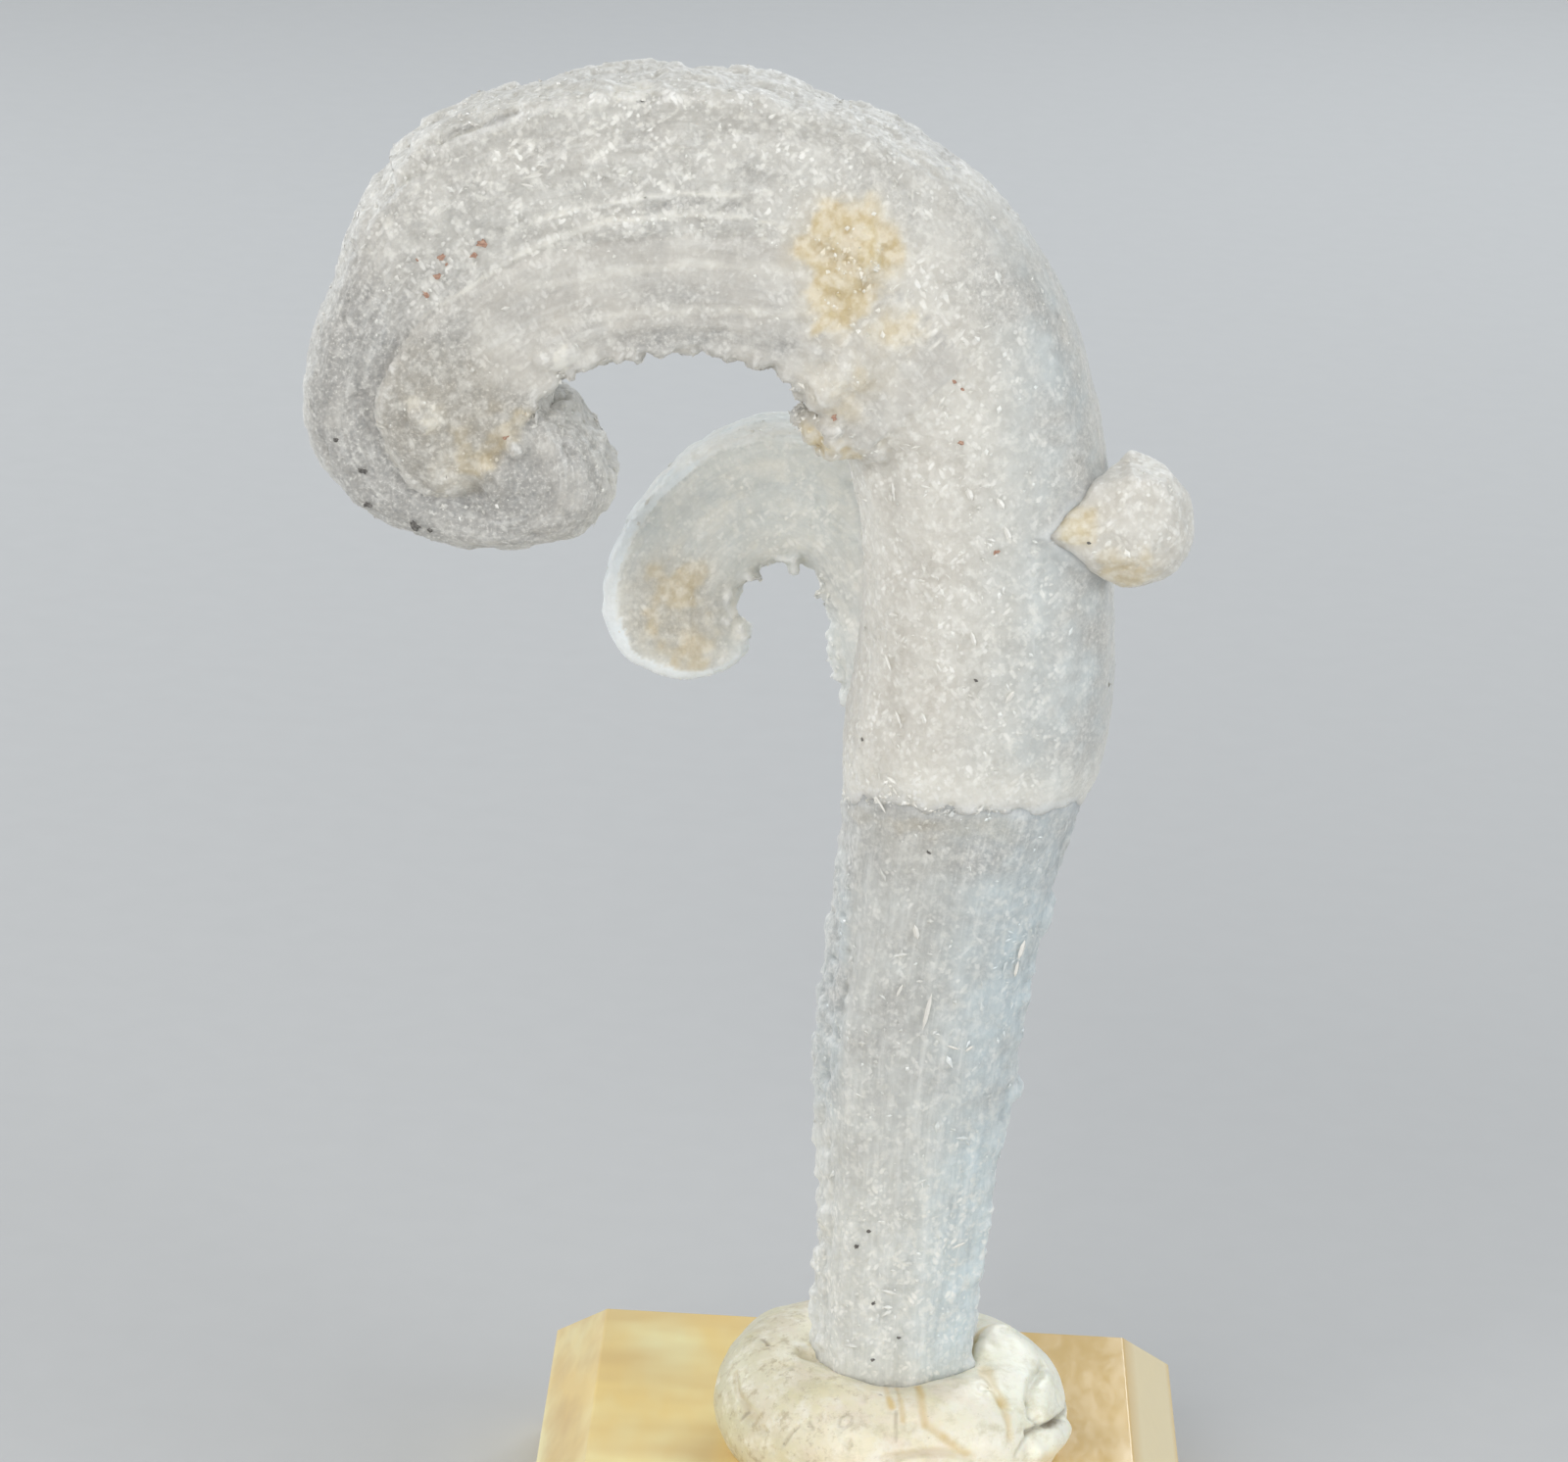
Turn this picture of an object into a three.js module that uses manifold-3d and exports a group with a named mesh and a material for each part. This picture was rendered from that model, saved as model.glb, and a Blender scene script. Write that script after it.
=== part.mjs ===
// Ram's horn selenite: a fibrous gypsum crystal that curled as it grew, standing in a ring of putty
// on a clear bevelled block. Millimetres, +Z up, the horn curling towards -X. The origin is the
// centre of the block's underside.
import * as THREE from "three";
import { mergeVertices } from "three/addons/utils/BufferGeometryUtils.js";
import Module from "manifold-3d";

const wasm = await Module();
wasm.setup();

// ---- Driving dimensions, mm ----
const BLOCK = { side: 50.8, height: 12.7, bevel: 4.25 };
const PUTTY = { x: 2.1, y: 0, ring: 8.3, roll: 5.2, height: 8.4, floor: 1.2 };
const STUB = { x: 15.0, y: -4.8, z: 89.7, reach: 4.7, depth: 4.2, height: 4.7 }; // half sizes
const GAP = 0.3; // between the crystal and the putty that grips it
const COLLAR_Z = 65.4; // height where the druse coat of the upper stem ends, at the sides
const COLLAR_RISE = 2.3; // and how much higher it ends at the front
const COAT = 0.55; // thickness of that coat
const STEM_FACETS = 7; // flats round the bare lower stem
const FACET_DEPTH = 4.2; // how deep the flats are, as a multiple of a regular polygon's
const FLUTE = { horn: 0.15, core: 0.12, offshoot: 0.13 }; // heights
const ROOM = 60; // larger than anything here, to cut with
const ROUND = 2.5; // superellipse exponent of a rounded side
const WALLED = 9; // and of a side that ends in a wall, where two bundles lie together

// ---- The bundles of fibres ----
// A bundle is a band between an outer and an inner edge. Each row is one station along it:
// outer x, outer z, inner x, inner z, middle y, half depth, share of the inner side that is a wall.
const HORN = [
  [8.4, 14.6, -3.8, 14.6, 0.0, 5.3, 0],
  [8.4, 24.6, -4.3, 24.4, 0.0, 5.6, 0],
  [9.0, 34.4, -4.4, 34.0, 0.0, 5.9, 0],
  [10.2, 46.0, -5.4, 45.4, 0.0, 6.5, 0],
  [11.2, 56.0, -4.9, 55.4, 0.0, 7.0, 0],
  [12.3, 64.6, -3.9, 64.2, 0.0, 7.4, 0],
  [14.3, 71.0, -4.1, 70.4, 0.0, 7.8, 0],
  [14.9, 79.0, -3.5, 78.6, 0.0, 8.3, 0],
  [14.1, 87.6, -3.9, 86.6, 0.0, 8.5, 0],
  [12.9, 95.6, -5.4, 92.8, -0.2, 8.4, 0],
  [9.9, 104.4, -7.0, 98.0, -0.5, 8.2, 0.3],
  [5.4, 111.0, -8.6, 103.8, -0.9, 7.9, 0.6],
  [-1.0, 116.0, -10.6, 107.4, -1.4, 7.6, 0.9],
  [-9.0, 118.7, -13.2, 109.5, -1.8, 7.3, 1],
  [-18.3, 119.4, -18.3, 109.3, -2.1, 7.1, 1],
  [-27.0, 118.0, -23.9, 108.6, -2.4, 6.8, 1],
  [-34.6, 115.3, -29.4, 106.5, -2.5, 6.5, 1],
  [-39.9, 111.2, -33.7, 103.0, -2.5, 6.1, 1],
  [-42.7, 104.6, -36.5, 99.9, -2.4, 5.7, 1],
  [-44.8, 96.6, -37.7, 96.0, -2.1, 5.6, 1],
  [-43.2, 90.0, -36.9, 92.4, -1.7, 5.7, 1],
  [-38.5, 86.3, -34.4, 90.3, -1.4, 5.8, 1],
  [-31.5, 84.7, -31.9, 89.8, -1.4, 5.8, 1],
  [-25.2, 86.1, -31.0, 89.6, -2.0, 6.0, 1],
  [-22.0, 89.2, -30.6, 91.4, -2.6, 6.2, 1],
  [-23.3, 93.4, -30.0, 93.6, -2.9, 6.2, 1],
  [-25.6, 95.9, -29.4, 95.3, -2.9, 5.8, 0.8],
];
// The core bundle runs under the arch and ends as the lobe in the eye of the curl.
const CORE = [
  [3.4, 102.6, -4.4, 94.4, -0.7, 8.3, 0.4],
  [-2.4, 107.6, -8.2, 98.0, -1.2, 7.9, 0.8],
  [-8.4, 110.2, -11.6, 100.3, -1.7, 7.6, 1],
  [-17.8, 111.0, -17.6, 100.9, -2.3, 7.0, 1],
  [-25.6, 109.6, -23.9, 99.4, -2.7, 6.6, 1],
  [-32.4, 106.0, -27.2, 97.5, -2.9, 6.4, 1],
  [-36.8, 101.6, -27.8, 95.9, -3.0, 6.2, 1],
  [-38.9, 96.4, -29.2, 93.9, -3.0, 6.0, 1],
  [-38.2, 92.2, -30.3, 92.3, -2.9, 5.6, 1],
  [-35.4, 89.5, -30.8, 91.0, -2.7, 5.1, 0.9],
  [-32.7, 88.9, -31.1, 90.1, -2.4, 4.3, 0.5],
];
// The small horn leaves the back of the stem and curls beside it.
const OFFSHOOT = [
  [4.6, 57.0, -2.4, 58.0, 4.0, 3.0, 0],
  [4.8, 65.0, -3.4, 66.0, 5.6, 3.6, 0],
  [3.6, 73.6, -5.0, 73.4, 7.4, 4.0, 0],
  [1.9, 81.0, -6.6, 78.8, 8.8, 4.2, 0],
  [-1.4, 87.2, -7.9, 80.9, 9.4, 4.1, 0],
  [-5.8, 91.0, -9.5, 81.4, 9.3, 3.8, 0],
  [-11.0, 92.1, -11.0, 80.9, 8.9, 3.3, 0],
  [-16.3, 89.9, -12.2, 79.8, 8.5, 2.8, 0],
  [-20.7, 85.1, -12.9, 78.4, 8.2, 2.5, 0],
  [-23.0, 78.9, -13.1, 77.2, 8.1, 2.4, 0],
  [-21.7, 74.2, -12.9, 76.3, 8.1, 2.3, 0],
  [-17.4, 72.2, -12.6, 75.4, 8.1, 2.2, 0],
  [-13.7, 72.9, -12.2, 75.0, 8.1, 1.8, 0],
  [-12.0, 74.2, -12.0, 75.1, 8.1, 0.9, 0],
];
// Two layers that end in ledges: one proud of the arch's faces, one lying along its back.
const LAMELLA = [
  [-7.4, 115.8, -8.8, 112.4, -1.7, 6.4, 0.8],
  [-13.6, 117.0, -13.9, 113.3, -1.9, 7.2, 1],
  [-20.6, 117.0, -20.2, 113.2, -2.2, 7.15, 1],
  [-26.6, 115.6, -25.7, 112.4, -2.4, 6.8, 1],
  [-31.8, 113.0, -30.4, 110.9, -2.5, 6.1, 0.8],
];
const RIM = [
  [-7.6, 117.7, -8.6, 116.0, -1.8, 4.6, 0.8],
  [-12.6, 119.8, -13.0, 117.4, -1.9, 5.3, 1],
  [-21.9, 119.9, -21.2, 117.4, -2.2, 5.5, 1],
  [-28.6, 118.5, -27.4, 116.4, -2.4, 5.5, 1],
  [-35.2, 115.9, -33.8, 113.8, -2.5, 5.2, 1],
  [-39.0, 113.2, -37.8, 111.4, -2.5, 4.2, 0.8],
];

// Crust patches, nodules and what fills the eye of the curl: x, y, z, then the three radii.
const CRUST = [
  [-5.6, -8.0, 109.6, 3.7, 1.5, 4.4],
  [-6.8, -7.8, 105.2, 2.7, 1.4, 3.2],
  [-2.7, -8.3, 104.2, 1.3, 1.0, 2.7],
  [-6.0, -7.4, 100.3, 3.0, 2.1, 3.3],
  [-6.4, -6.0, 95.7, 2.3, 2.4, 2.2],
  [-26.6, -7.6, 100.9, 2.2, 2.0, 1.7],
  [-35.6, -8.4, 95.9, 1.3, 1.1, 1.8],
  [-33.6, -7.0, 91.6, 2.6, 1.4, 1.1],
  [2.6, 7.6, 100.4, 3.4, 1.6, 4.6],
  [8.6, 6.6, 84.4, 2.8, 1.8, 2.2],
  [-22.6, 4.6, 105.6, 3.8, 1.0, 1.8],
  [-34.6, 2.4, 96.2, 2.0, 1.1, 2.4],
  [-29.0, -2.9, 93.8, 3.2, 5.8, 4.0],
  [-27.9, -2.8, 91.8, 4.2, 5.8, 3.4],
  [10.9, -2.0, 57.8, 0.7, 1.4, 1.3],
  [9.2, -2.0, 43.6, 0.7, 1.2, 1.0],
  [-3.9, -1.6, 32.0, 0.5, 1.3, 1.1],
];
// Pits where the outer fibres have broken out: place, then length, width and depth.
const PITS = [
  [-42.4, -6.5, 90.6, 2.6, 0.9, 1.6],
  [-39.2, -6.2, 87.8, 2.2, 0.8, 1.5],
  [-36.0, -5.8, 86.7, 2.0, 0.9, 1.4],
  [-1.2, -6.6, 115.6, 3.4, 0.8, 1.2],
  [9.8, -2.0, 105.2, 2.2, 1.0, 1.6],
  [-40.6, 3.2, 89.0, 2.4, 0.9, 1.5],
  [6.0, 6.2, 108.0, 3.0, 0.9, 1.4],
];
// Folds in the putty ring: degrees round it, then out, up and the three radii.
const FOLDS = [
  [-14, 10.4, 5.6, 3.2, 2.6, 3.0],
  [-36, 10.6, 3.2, 3.0, 3.0, 3.1],
  [-118, 9.6, 3.8, 4.4, 3.6, 3.7],
  [172, 9.4, 4.6, 3.9, 4.4, 4.4],
];

// ---- Small helpers ----
function seeded(seed) {
  let state = seed;
  return () => {
    state = (state + 0x6d2b79f5) | 0;
    let mixed = Math.imul(state ^ (state >>> 15), 1 | state);
    mixed = (mixed + Math.imul(mixed ^ (mixed >>> 7), 61 | mixed)) ^ mixed;
    return ((mixed ^ (mixed >>> 14)) >>> 0) / 4294967296;
  };
}

const smooth = THREE.MathUtils.smoothstep;
const lerp = THREE.MathUtils.lerp;

// A closed three.js geometry as a manifold-3d solid, turned to face out.
function solid(geometry) {
  const bare = geometry.clone();
  bare.deleteAttribute("normal");
  bare.deleteAttribute("uv");
  const merged = mergeVertices(bare, 1e-4);
  const make = (triVerts) =>
    new wasm.Manifold(
      new wasm.Mesh({
        numProp: 3,
        vertProperties: new Float32Array(merged.attributes.position.array),
        triVerts,
      }),
    );
  const corners = Uint32Array.from(merged.index.array);
  const made = make(corners);
  return made.volume() > 0 ? made : make(corners.reverse());
}

// The largest shell alone: the crystal is solid right through, with no hollow left inside a join.
function filled(manifold) {
  return manifold.decompose().reduce((most, shell) => (shell.volume() > most.volume() ? shell : most));
}

function geometryOf(manifold) {
  const { vertProperties, triVerts } = manifold.getMesh();
  const geometry = new THREE.BufferGeometry();
  geometry.setAttribute("position", new THREE.BufferAttribute(vertProperties, 3));
  geometry.setIndex(new THREE.BufferAttribute(triVerts, 1));
  return geometry.toNonIndexed();
}

// The rows of a bundle as a smooth function of the share of the way along it.
function along(rows) {
  const outer = new THREE.CatmullRomCurve3(rows.map(([x, z]) => new THREE.Vector3(x, 0, z)));
  const inner = new THREE.CatmullRomCurve3(rows.map(([, , x, z]) => new THREE.Vector3(x, 0, z)));
  const body = new THREE.CatmullRomCurve3(
    rows.map(([, , , , y, depth, wall]) => new THREE.Vector3(y, depth, wall)),
  );
  return (share) => {
    const facts = body.getPoint(share);
    return {
      outer: outer.getPoint(share),
      inner: inner.getPoint(share),
      y: facts.x,
      depth: facts.y,
      wall: THREE.MathUtils.clamp(facts.z, 0, 1),
    };
  };
}

// A bundle's closed surface: a cylinder whose rings become superellipses between the two edges.
// relief(place, turn, share) is how far the surface stands out there, in mm, and outward is the
// exponent of the outer side.
function bundle(rows, { around, steps, outward = ROUND, relief = () => 0, grow = 0 }) {
  const geometry = new THREE.CylinderGeometry(1, 1, 1, around, steps);
  const stationAt = along(rows);
  const position = geometry.getAttribute("position");
  for (let i = 0; i < position.count; i++) {
    const share = position.getY(i) + 0.5;
    const station = stationAt(share);
    const turn = Math.atan2(position.getZ(i), position.getX(i));
    const wall = lerp(ROUND, WALLED, station.wall);
    const power = Math.cos(turn) > 0 ? outward : wall;
    const sum = Math.abs(Math.cos(turn)) ** power + Math.abs(Math.sin(turn)) ** power;
    const reach = Math.hypot(position.getX(i), position.getZ(i)) * sum ** (-1 / power);
    const half = station.outer.clone().sub(station.inner).multiplyScalar(0.5);
    const middle = station.outer.clone().add(station.inner).multiplyScalar(0.5);
    const offset = half.multiplyScalar(reach * Math.cos(turn));
    offset.y = station.depth * reach * Math.sin(turn);
    const size = offset.length();
    middle.y = station.y;
    if (size > 1e-6) {
      const place = middle.clone().add(offset);
      offset.multiplyScalar(1 + (relief(place, turn, share) + grow) / size);
    }
    middle.add(offset);
    position.setXYZ(i, middle.x, middle.y, middle.z);
  }
  return geometry;
}

// ---- Relief ----
// Flutes that run with the fibres, a slow swell along them and the druse coat above the collar.
function flutes(turn, share, height) {
  const drift = 1.7 * Math.sin(5 * share);
  return (
    height * (Math.sin(7 * turn + drift) + 0.7 * Math.sin(11 * turn - 2 * drift + 1)) +
    0.6 * height * Math.sin(43 * share + 3 * turn)
  );
}

// How far a regular polygon's outline lies inside its circle, as a share of the radius.
function polygon(turn, sides) {
  const sector = (2 * Math.PI) / sides;
  const within = THREE.MathUtils.euclideanModulo(turn + Math.PI, sector) - sector / 2;
  return Math.cos(sector / 2) / Math.cos(within) - 1;
}

function hornRelief(place, turn, share) {
  const facets = FACET_DEPTH * polygon(turn, STEM_FACETS) * (1 - smooth(place.z, COLLAR_Z - 12, COLLAR_Z));
  const ragged = 0.55 * Math.sin(3 * turn + 0.6) + 0.35 * Math.sin(8 * turn);
  const onStem = place.z < COLLAR_Z + 18 && place.x > -8 ? 1 : 0;
  const edge = COLLAR_Z + COLLAR_RISE * smooth(-place.y, 0.5, 6.5) + ragged;
  const coated = smooth(place.z, edge - 0.3, edge + 0.4);
  const coat = onStem ? COAT * coated * (1 - smooth(place.z, COLLAR_Z + 4, COLLAR_Z + 18)) : 0;
  return coat + facets + flutes(turn, share, FLUTE.horn);
}

// ---- Lumps and small crystals, fused to the horns ----
// A flat-faced blade of gypsum: length, width and thickness in mm, pointing along a direction.
function blade(at, direction, [length, width, thickness], roll) {
  const geometry = new THREE.OctahedronGeometry(0.5);
  const aim = new THREE.Quaternion().setFromUnitVectors(
    new THREE.Vector3(0, 0, 1),
    direction.clone().normalize(),
  );
  const spin = new THREE.Quaternion().setFromAxisAngle(new THREE.Vector3(0, 0, 1), roll);
  const matrix = new THREE.Matrix4().compose(
    at,
    aim.multiply(spin),
    new THREE.Vector3(width, thickness, length),
  );
  return geometry.applyMatrix4(matrix);
}

// A rough lump with flat faces; radii in mm.
function lump(at, [rx, ry, rz], seed, rough = 0.16, detail = 1) {
  const random = seeded(seed);
  const geometry = mergeVertices(bareOf(new THREE.IcosahedronGeometry(1, detail)), 1e-4);
  const position = geometry.getAttribute("position");
  for (let i = 0; i < position.count; i++) {
    const reach = 1 + rough * (2 * random() - 1);
    position.setXYZ(
      i,
      at.x + rx * reach * position.getX(i),
      at.y + ry * reach * position.getY(i),
      at.z + rz * reach * position.getZ(i),
    );
  }
  return geometry;
}

function bareOf(geometry) {
  geometry.deleteAttribute("normal");
  geometry.deleteAttribute("uv");
  return geometry;
}

// Blades along a bundle's edge, leaning along the fibres: from and to are shares of its length.
function edgeBlades(rows, { from, to, count, turn, spread, size, seed }) {
  const random = seeded(seed);
  const stationAt = along(rows);
  const made = [];
  for (let k = 0; k < count; k++) {
    const share = lerp(from, to, (k + 0.8 * random()) / count);
    const station = stationAt(share);
    const ahead = stationAt(Math.min(1, share + 0.01));
    const angle = turn + spread * (random() - 0.5);
    const half = station.outer.clone().sub(station.inner).multiplyScalar(0.5);
    const at = station.outer.clone().add(station.inner).multiplyScalar(0.5);
    const out = half.multiplyScalar(Math.cos(angle));
    out.y = station.depth * Math.sin(angle);
    at.y = station.y;
    at.addScaledVector(out, 0.985);
    const fibre = ahead.outer.clone().add(ahead.inner).sub(station.outer).sub(station.inner);
    const lean = out.clone().normalize().addScaledVector(fibre.normalize(), 1.2 * random() - 0.6);
    const scale = size * (0.6 + 0.8 * random());
    made.push(blade(at, lean, [2.4 * scale, 1.3 * scale, 0.8 * scale], 6 * random()));
  }
  return made;
}

// The stub of another horn, low on the right of the shoulder: a knob whose narrow end lies on the
// stem's front.
function stub() {
  const random = seeded(11);
  const geometry = mergeVertices(bareOf(new THREE.IcosahedronGeometry(1, 2)), 1e-4);
  const position = geometry.getAttribute("position");
  for (let i = 0; i < position.count; i++) {
    const x = position.getX(i);
    const reach = 1 + 0.035 * (2 * random() - 1);
    const taper = reach * lerp(0.3, 1, smooth(x, -1, -0.1));
    position.setXYZ(
      i,
      STUB.x + STUB.reach * reach * x * (x < 0 ? 1.2 : 1),
      STUB.y + 3.4 * Math.min(0, x) + STUB.depth * taper * position.getY(i),
      STUB.z + 1.1 * Math.min(0, -x) + STUB.height * taper * position.getZ(i),
    );
  }
  return geometry;
}

// ---- The pieces ----
function specimen() {
  const fluted = (height) => (place, turn, share) => flutes(turn, share, height);
  const under = { turn: Math.PI, spread: 0.7 };
  const grown = [
    bundle(HORN, { around: 28, steps: 58, relief: hornRelief }),
    bundle(CORE, { around: 18, steps: 24, outward: 6, relief: fluted(FLUTE.core) }),
    bundle(OFFSHOOT, { around: 18, steps: 24, outward: 3.2, relief: fluted(FLUTE.offshoot) }),
    bundle(LAMELLA, { around: 10, steps: 12 }),
    bundle(RIM, { around: 10, steps: 12 }),
    stub(),
    ...CRUST.map(([x, y, z, ...radii], k) => lump(new THREE.Vector3(x, y, z), radii, 100 + k)),
    ...edgeBlades(HORN, { from: 0.3, to: 0.42, count: 6, size: 1.0, seed: 21, ...under }),
    ...edgeBlades(CORE, { from: 0.12, to: 0.5, count: 14, size: 0.9, seed: 22, ...under }),
    ...edgeBlades(OFFSHOOT, { from: 0.16, to: 0.8, count: 16, size: 0.9, seed: 23, ...under }),
    ...edgeBlades(HORN, { from: 0.7, to: 0.97, count: 10, size: 0.5, seed: 24, turn: 0, spread: 1.6 }),
  ];
  const aslant = new THREE.Vector3(-0.8, 0, 0.5);
  const pits = PITS.map(([x, y, z, ...size]) => blade(new THREE.Vector3(x, y, z), aslant, size, 0));
  const whole = grown.map(solid).reduce((sum, part) => sum.add(part));
  return pits.map(solid).reduce((rest, pit) => rest.subtract(pit), filled(whole));
}

function puttyRing() {
  const geometry = new THREE.TorusGeometry(PUTTY.ring, PUTTY.roll, 11, 32);
  const position = geometry.getAttribute("position");
  const middle = PUTTY.height - PUTTY.roll;
  for (let i = 0; i < position.count; i++) {
    const [x, y, z] = [position.getX(i), position.getY(i), position.getZ(i)];
    const angle = Math.atan2(y, x);
    const out = Math.hypot(x, y) - PUTTY.ring;
    const swell = 1 + 0.05 * Math.sin(2 * angle + 2.2) + 0.03 * Math.sin(5 * angle);
    const reach = PUTTY.ring + out * swell;
    position.setXYZ(
      i,
      PUTTY.x + reach * Math.cos(angle),
      PUTTY.y + reach * Math.sin(angle),
      BLOCK.height + Math.max(0, middle + z * swell),
    );
  }
  return geometry;
}

function putty() {
  const folds = FOLDS.map(([degrees, out, up, ...radii], k) => {
    const angle = THREE.MathUtils.degToRad(degrees);
    const at = new THREE.Vector3(
      PUTTY.x + out * Math.cos(angle),
      PUTTY.y + out * Math.sin(angle),
      BLOCK.height + up,
    );
    return lump(at, radii, 31 + k, 0.05);
  });
  const foot = new THREE.CylinderGeometry(PUTTY.ring, PUTTY.ring, PUTTY.floor, 24);
  foot.rotateX(Math.PI / 2).translate(PUTTY.x, PUTTY.y, BLOCK.height + PUTTY.floor / 2);
  const whole = [puttyRing(), foot, ...folds].map(solid).reduce((sum, part) => sum.add(part));
  const grip = solid(bundle(HORN, { around: 28, steps: 58, relief: hornRelief, grow: GAP }));
  const pocket = grip.add(grip.translate([0, 0, -GAP]));
  const above = solid(new THREE.BoxGeometry(ROOM, ROOM, ROOM).translate(0, 0, BLOCK.height + ROOM / 2));
  return whole.intersect(above).subtract(pocket);
}

function block() {
  const corner = Math.SQRT1_2 * BLOCK.side;
  const profile = [
    [0, 0],
    [corner, 0],
    [corner, BLOCK.height - BLOCK.bevel],
    [corner - Math.SQRT2 * BLOCK.bevel, BLOCK.height],
    [0, BLOCK.height],
  ].map(([x, y]) => new THREE.Vector2(x, y));
  return new THREE.LatheGeometry(profile, 4, Math.PI / 4).rotateX(Math.PI / 2);
}

function mesh(name, geometry, colour, roughness, opacity = 1) {
  const material = new THREE.MeshStandardMaterial({
    color: colour,
    roughness,
    metalness: 0,
    opacity,
    transparent: opacity < 1,
    flatShading: true,
  });
  const made = new THREE.Mesh(geometry, material);
  made.name = name;
  return made;
}

const part = new THREE.Group();
part.add(
  mesh("selenite_horns", geometryOf(specimen()), 0xd9d8d4, 0.4),
  mesh("putty", geometryOf(putty()), 0xe4dcc6, 0.7),
  mesh("block", block(), 0xd9b878, 0.08, 0.5),
);

export default part;
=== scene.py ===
"""The looks of the ram's horn selenite: a fibrous crystal with a druse coat, in putty on a clear block.

Shapes are worked out in millimetres and made in metres. The horn curls towards -X and the front
faces -Y. Every random draw is seeded.
"""
import math

import bmesh
import bpy
import numpy as np
from mathutils import Matrix, Vector
from mathutils.bvhtree import BVHTree
from mathutils.kdtree import KDTree


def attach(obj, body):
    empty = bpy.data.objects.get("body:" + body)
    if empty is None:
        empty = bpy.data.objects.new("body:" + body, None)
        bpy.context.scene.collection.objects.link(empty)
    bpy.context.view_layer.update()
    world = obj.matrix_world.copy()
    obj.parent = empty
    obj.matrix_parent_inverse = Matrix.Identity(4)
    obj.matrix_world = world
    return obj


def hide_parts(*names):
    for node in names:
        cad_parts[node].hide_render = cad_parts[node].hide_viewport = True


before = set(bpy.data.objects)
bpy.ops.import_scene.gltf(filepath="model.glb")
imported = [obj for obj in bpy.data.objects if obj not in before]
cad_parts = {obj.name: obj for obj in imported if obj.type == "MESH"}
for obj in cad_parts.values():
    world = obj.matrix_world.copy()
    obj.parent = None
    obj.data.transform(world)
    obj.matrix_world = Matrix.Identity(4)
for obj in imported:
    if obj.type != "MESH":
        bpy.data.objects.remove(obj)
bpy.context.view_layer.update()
MM = 0.001

# ---- The studio: millimetres, degrees and watts. The camera is where the photograph was taken ----
LENS = 114.6
PITCH = 18.79
YAW = -0.58
ROLL = 2.98
DISTANCE = 370.3
TARGET = (-8.92, 0.0, 70.65)
FLOOR_HALF = 4000
LAMPS_AIM = (-8, 0, 65)
# Each lamp: name, place, side, watts, tint.
LAMPS = [
    ("key", (-380, -760, 470), 640, 5.1, (1.0, 0.985, 0.955)),
    ("fill", (700, -420, 300), 460, 2.8, (0.94, 0.98, 1.0)),
    ("back", (260, 700, 520), 420, 2.4, (0.90, 0.96, 1.0)),
    ("rim", (-620, 430, 300), 360, 2.2, (0.92, 0.97, 1.0)),
]

# ---- Noise ----
# Large odd numbers that scatter the cells, and how far out a spot fades, in shares of its reach.
CELL_MIXERS = (374761393, 668265263, 1442695041)
SEED_MIXER = 974711
LAST_MIXER = 1274126177
SPOT_FADE = (0.35, 1.25)
LUMP_GRAIN = 0.45  # size of the noise on a lump, in shares of its radius
# The lines along the fibres, in three widths: share of the height, width, length.
FIBRES = ((0.35, 0.55, 9), (1.0, 1.3, 14), (1.2, 3.2, 20))

# ---- The crystal: millimetres ----
COLLAR_Z = 65.4  # where the druse coat of the upper stem ends, at the sides
COLLAR_RISE = 2.3  # and how much higher it ends at the front
COAT = 0.42
COAT_TUCK = 1.5  # how deep the coat goes in below the collar
STEM_TUCK = 1.2  # and the bare stem above it
STEM_FACETS = 7
FACET_DEPTH = 4.2
CORE_STEP = 0.28
ROUND = 2.5  # superellipse exponent of a rounded side
WALL_LIKE = 8.0  # of a nearly flat one
WALLED = 12.0  # and of a side that ends in a wall
HORN_VOXEL = 0.30
SMALL_VOXEL = 0.25
GRIP_Z = 19.0  # the putty hides the crystal below this
SHAKE = 0.012  # unevenness of every skin
# Below SMOOTH_CRUST_Z the crust is also painted lighter through whiteness_and_painted_light: painted light
# lifting the shade of its lumps.
SMOOTH_CRUST_Z = (101, 104)  # the crust is lumpy and sparkles below this and is smooth above it
FACET_TILT = 0.55  # how far the normals of the small grains lean, as a share of their length
# How far the skins rise to meet what grows out of them.
NUB_FILLET = 0.5
HORN_FILLET = 0.9
STEM_FILLET = 0.6
# Shares of the way along the bundles: the bare stem ends inside the coat, and the parts shade over
# between each pair.
COAT_STARTS = 0.185
STEM_ENDS = 0.235
ARCH_STARTS = (0.4, 0.51)
CURL_STARTS = (0.62, 0.70)
LOBE_STARTS = (0.5, 0.66)
BEAK_STARTS = (0.88, 0.93)
# The bluish strip on the stem: where it fades in x and y, starts and ends in z.
STRIP = ((-4.0, -2.9), (0.5, 3.5), (40, 44), (59, 63))
# What a skin knows of each point, besides where it is.
FACTS = ("share", "straight", "from_outer", "from_inner")

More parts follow.
